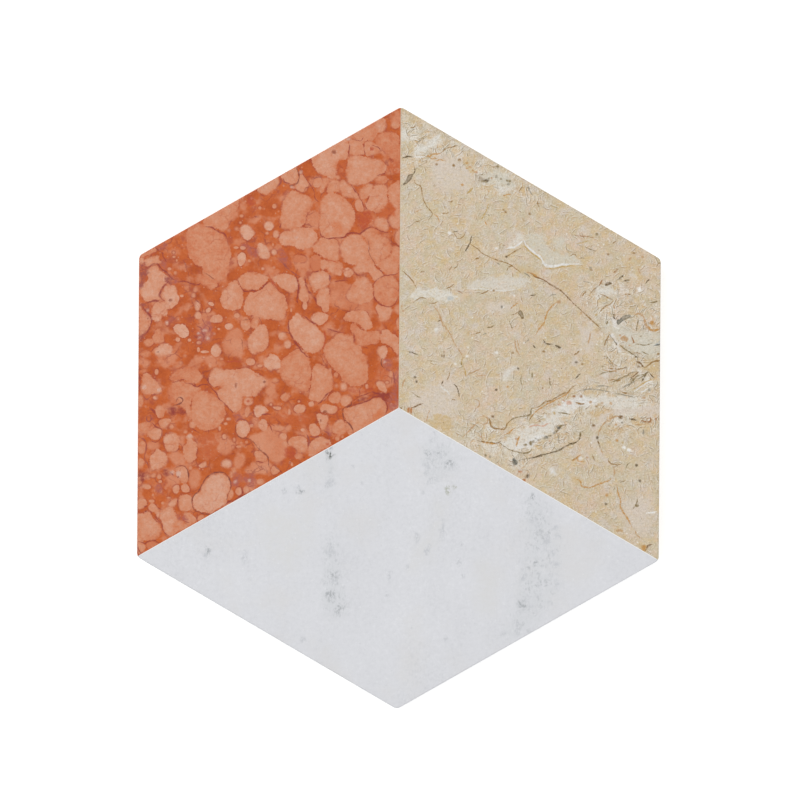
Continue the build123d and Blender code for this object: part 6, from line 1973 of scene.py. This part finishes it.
def build_red():
    """The upper left stone."""
    mesh, plan, depth = begin_stone("red")
    pebbles = [(tone, ellipse(*place)) for tone, *place in RED_PEBBLES]
    for name, blobs in (("nodule", RED_NODULES + pebbles), ("ghost", RED_GHOSTS)):
        into, tones, ragged = blob_fields(plan, depth, blobs)
        set_attribute(mesh, name, into)
        set_attribute(mesh, f"{name}_tone", tones)
        set_attribute(mesh, f"{name}_ragged", ragged)
    store_lines(mesh, plan, RED_LINES)
    store_stains(mesh, "stain", plan, depth, RED_STAINS)
    store_stains(mesh, "spot", plan, depth, spots_as_stains(RED_SPOTS))
    end_stone("red", mesh, red_material())


def build_cream():
    """The upper right stone."""
    mesh, plan, depth = begin_stone("cream")
    numbered = [(number, outline) for number, (_, _, outline) in enumerate(CREAM_CHIPS)]
    into, number, _ = blob_fields(plan, depth, numbered)
    set_attribute(mesh, "chip", into)
    for part, name in enumerate(("chip_rim", "chip_middle")):
        inks = np.array([(*linear(INKS[chip[part]]), 1.0) for chip in CREAM_CHIPS])
        set_attribute(mesh, name, inks[number.astype(int)])
    store_lines(mesh, plan, CREAM_LINES)
    store_stains(mesh, "stain", plan, depth, CREAM_STAINS)
    store_stains(mesh, "spot", plan, depth, spots_as_stains(CREAM_SPOTS))
    zones, _ = stain_fields(plan, 0 * depth, [("cloud", ZONE_SOFTNESS, zone) for zone in CREAM_ZONES])
    set_attribute(mesh, "zone", zones)
    end_stone("cream", mesh, cream_material())


def build_white():
    """The lower stone."""
    mesh, plan, depth = begin_stone("white")
    store_stains(mesh, "stain", plan, depth, WHITE_STAINS)
    grey, _ = stain_fields(plan, depth, [stain for stain in WHITE_STAINS if stain[0] == "mist"])
    set_attribute(mesh, "stain_dark", grey)
    store_stains(mesh, "spot", plan, depth, spots_as_stains(WHITE_SPOTS, FLECK_SPREAD, FLECK_SOFTNESS))
    end_stone("white", mesh, white_material())


build_red()
build_cream()
build_white()

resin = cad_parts["joint_resin"]
resin.data.materials.clear()
resin.data.materials.append(resin_material())


# Floor, light and camera

FLOOR_DROP = 0.0001  # metres below the tile
FLOOR_SIZE = 12.0  # metres
FLOOR_GREY = 0.8
FLOOR_GLOW = 0.45  # seen directly and in reflections, but it lights nothing

# Lamps: name, place and size in metres, and watts
LAMPS = [
    ("key", (-0.7, 0.5, 1.1), 0.9, 7.4),
    ("fill", (0.9, -0.5, 1.2), 1.2, 4.9),
]
WORLD_LIGHT = 0.62

# The camera looks straight down; its place and the picture's width on the tile's face are in millimetres
PICTURE_PIXELS = 800
APOTHEM_PIXELS = 261.02  # from the middle of the tile to a side, in the picture
PICTURE_WIDTH = PICTURE_PIXELS * APOTHEM / APOTHEM_PIXELS
CAMERA_LENS = 100.0
CAMERA_SENSOR = 36.0
CAMERA_TURN = 0.4  # degrees
CAMERA_ACROSS = 0.40
CAMERA_UP = 3.08


def floor_material():
    """White to the eye, with the tile's soft shadow."""
    net = NodeNet("floor")
    rays = net.node("ShaderNodeLightPath").outputs
    seen = net.total(rays["Is Camera Ray"], rays["Is Glossy Ray"], rays["Is Transmission Ray"])
    diffuse = net.node("ShaderNodeBsdfDiffuse")
    diffuse.inputs["Color"].default_value = (FLOOR_GREY, FLOOR_GREY, FLOOR_GREY, 1.0)
    glow = net.node("ShaderNodeEmission")
    glow.inputs["Color"].default_value = (1.0, 1.0, 1.0, 1.0)
    net.feed(glow.inputs["Strength"], net.times(seen, FLOOR_GLOW))
    both = net.node("ShaderNodeAddShader")
    net.feed(both.inputs[0], diffuse.outputs[0])
    net.feed(both.inputs[1], glow.outputs[0])
    return net.ended(both)


def add_floor():
    """A square floor just below the tile."""
    half = FLOOR_SIZE / 2
    mesh = bpy.data.meshes.new("floor")
    corners = [(-half, -half), (half, -half), (half, half), (-half, half)]
    mesh.from_pydata([(x, y, -FLOOR_DROP) for x, y in corners], [], [(0, 1, 2, 3)])
    mesh.materials.append(floor_material())
    floor = bpy.data.objects.new("floor", mesh)
    bpy.context.scene.collection.objects.link(floor)


def add_lamp(name, place, size, watts):
    """A square lamp that faces the tile."""
    lamp = bpy.data.lights.new(name, "AREA")
    lamp.shape = "SQUARE"
    lamp.size = size
    lamp.energy = watts
    lamp_object = bpy.data.objects.new(name, lamp)
    lamp_object.location = place
    toward = -lamp_object.location
    lamp_object.rotation_euler = toward.to_track_quat("-Z", "Y").to_euler()
    bpy.context.scene.collection.objects.link(lamp_object)


def add_world():
    """Even white light from all round."""
    world = bpy.data.worlds.new("studio")
    world.use_nodes = True
    background = world.node_tree.nodes["Background"]
    background.inputs["Color"].default_value = (1.0, 1.0, 1.0, 1.0)
    background.inputs["Strength"].default_value = WORLD_LIGHT
    bpy.context.scene.world = world


def add_camera():
    """The camera of the photo, straight above the tile."""
    camera_data = bpy.data.cameras.new("camera")
    camera_data.lens = CAMERA_LENS
    camera_data.sensor_width = CAMERA_SENSOR
    camera = bpy.data.objects.new("camera", camera_data)
    rise = PICTURE_WIDTH * CAMERA_LENS / CAMERA_SENSOR
    camera.location = (CAMERA_ACROSS / TO_MM, CAMERA_UP / TO_MM, (THICKNESS + rise) / TO_MM)
    camera.rotation_euler = (0.0, 0.0, math.radians(CAMERA_TURN))
    bpy.context.scene.collection.objects.link(camera)
    bpy.context.scene.camera = camera


add_floor()
for lamp_settings in LAMPS:
    add_lamp(*lamp_settings)
add_world()
add_camera()

bpy.context.scene.view_settings.view_transform = "Standard"
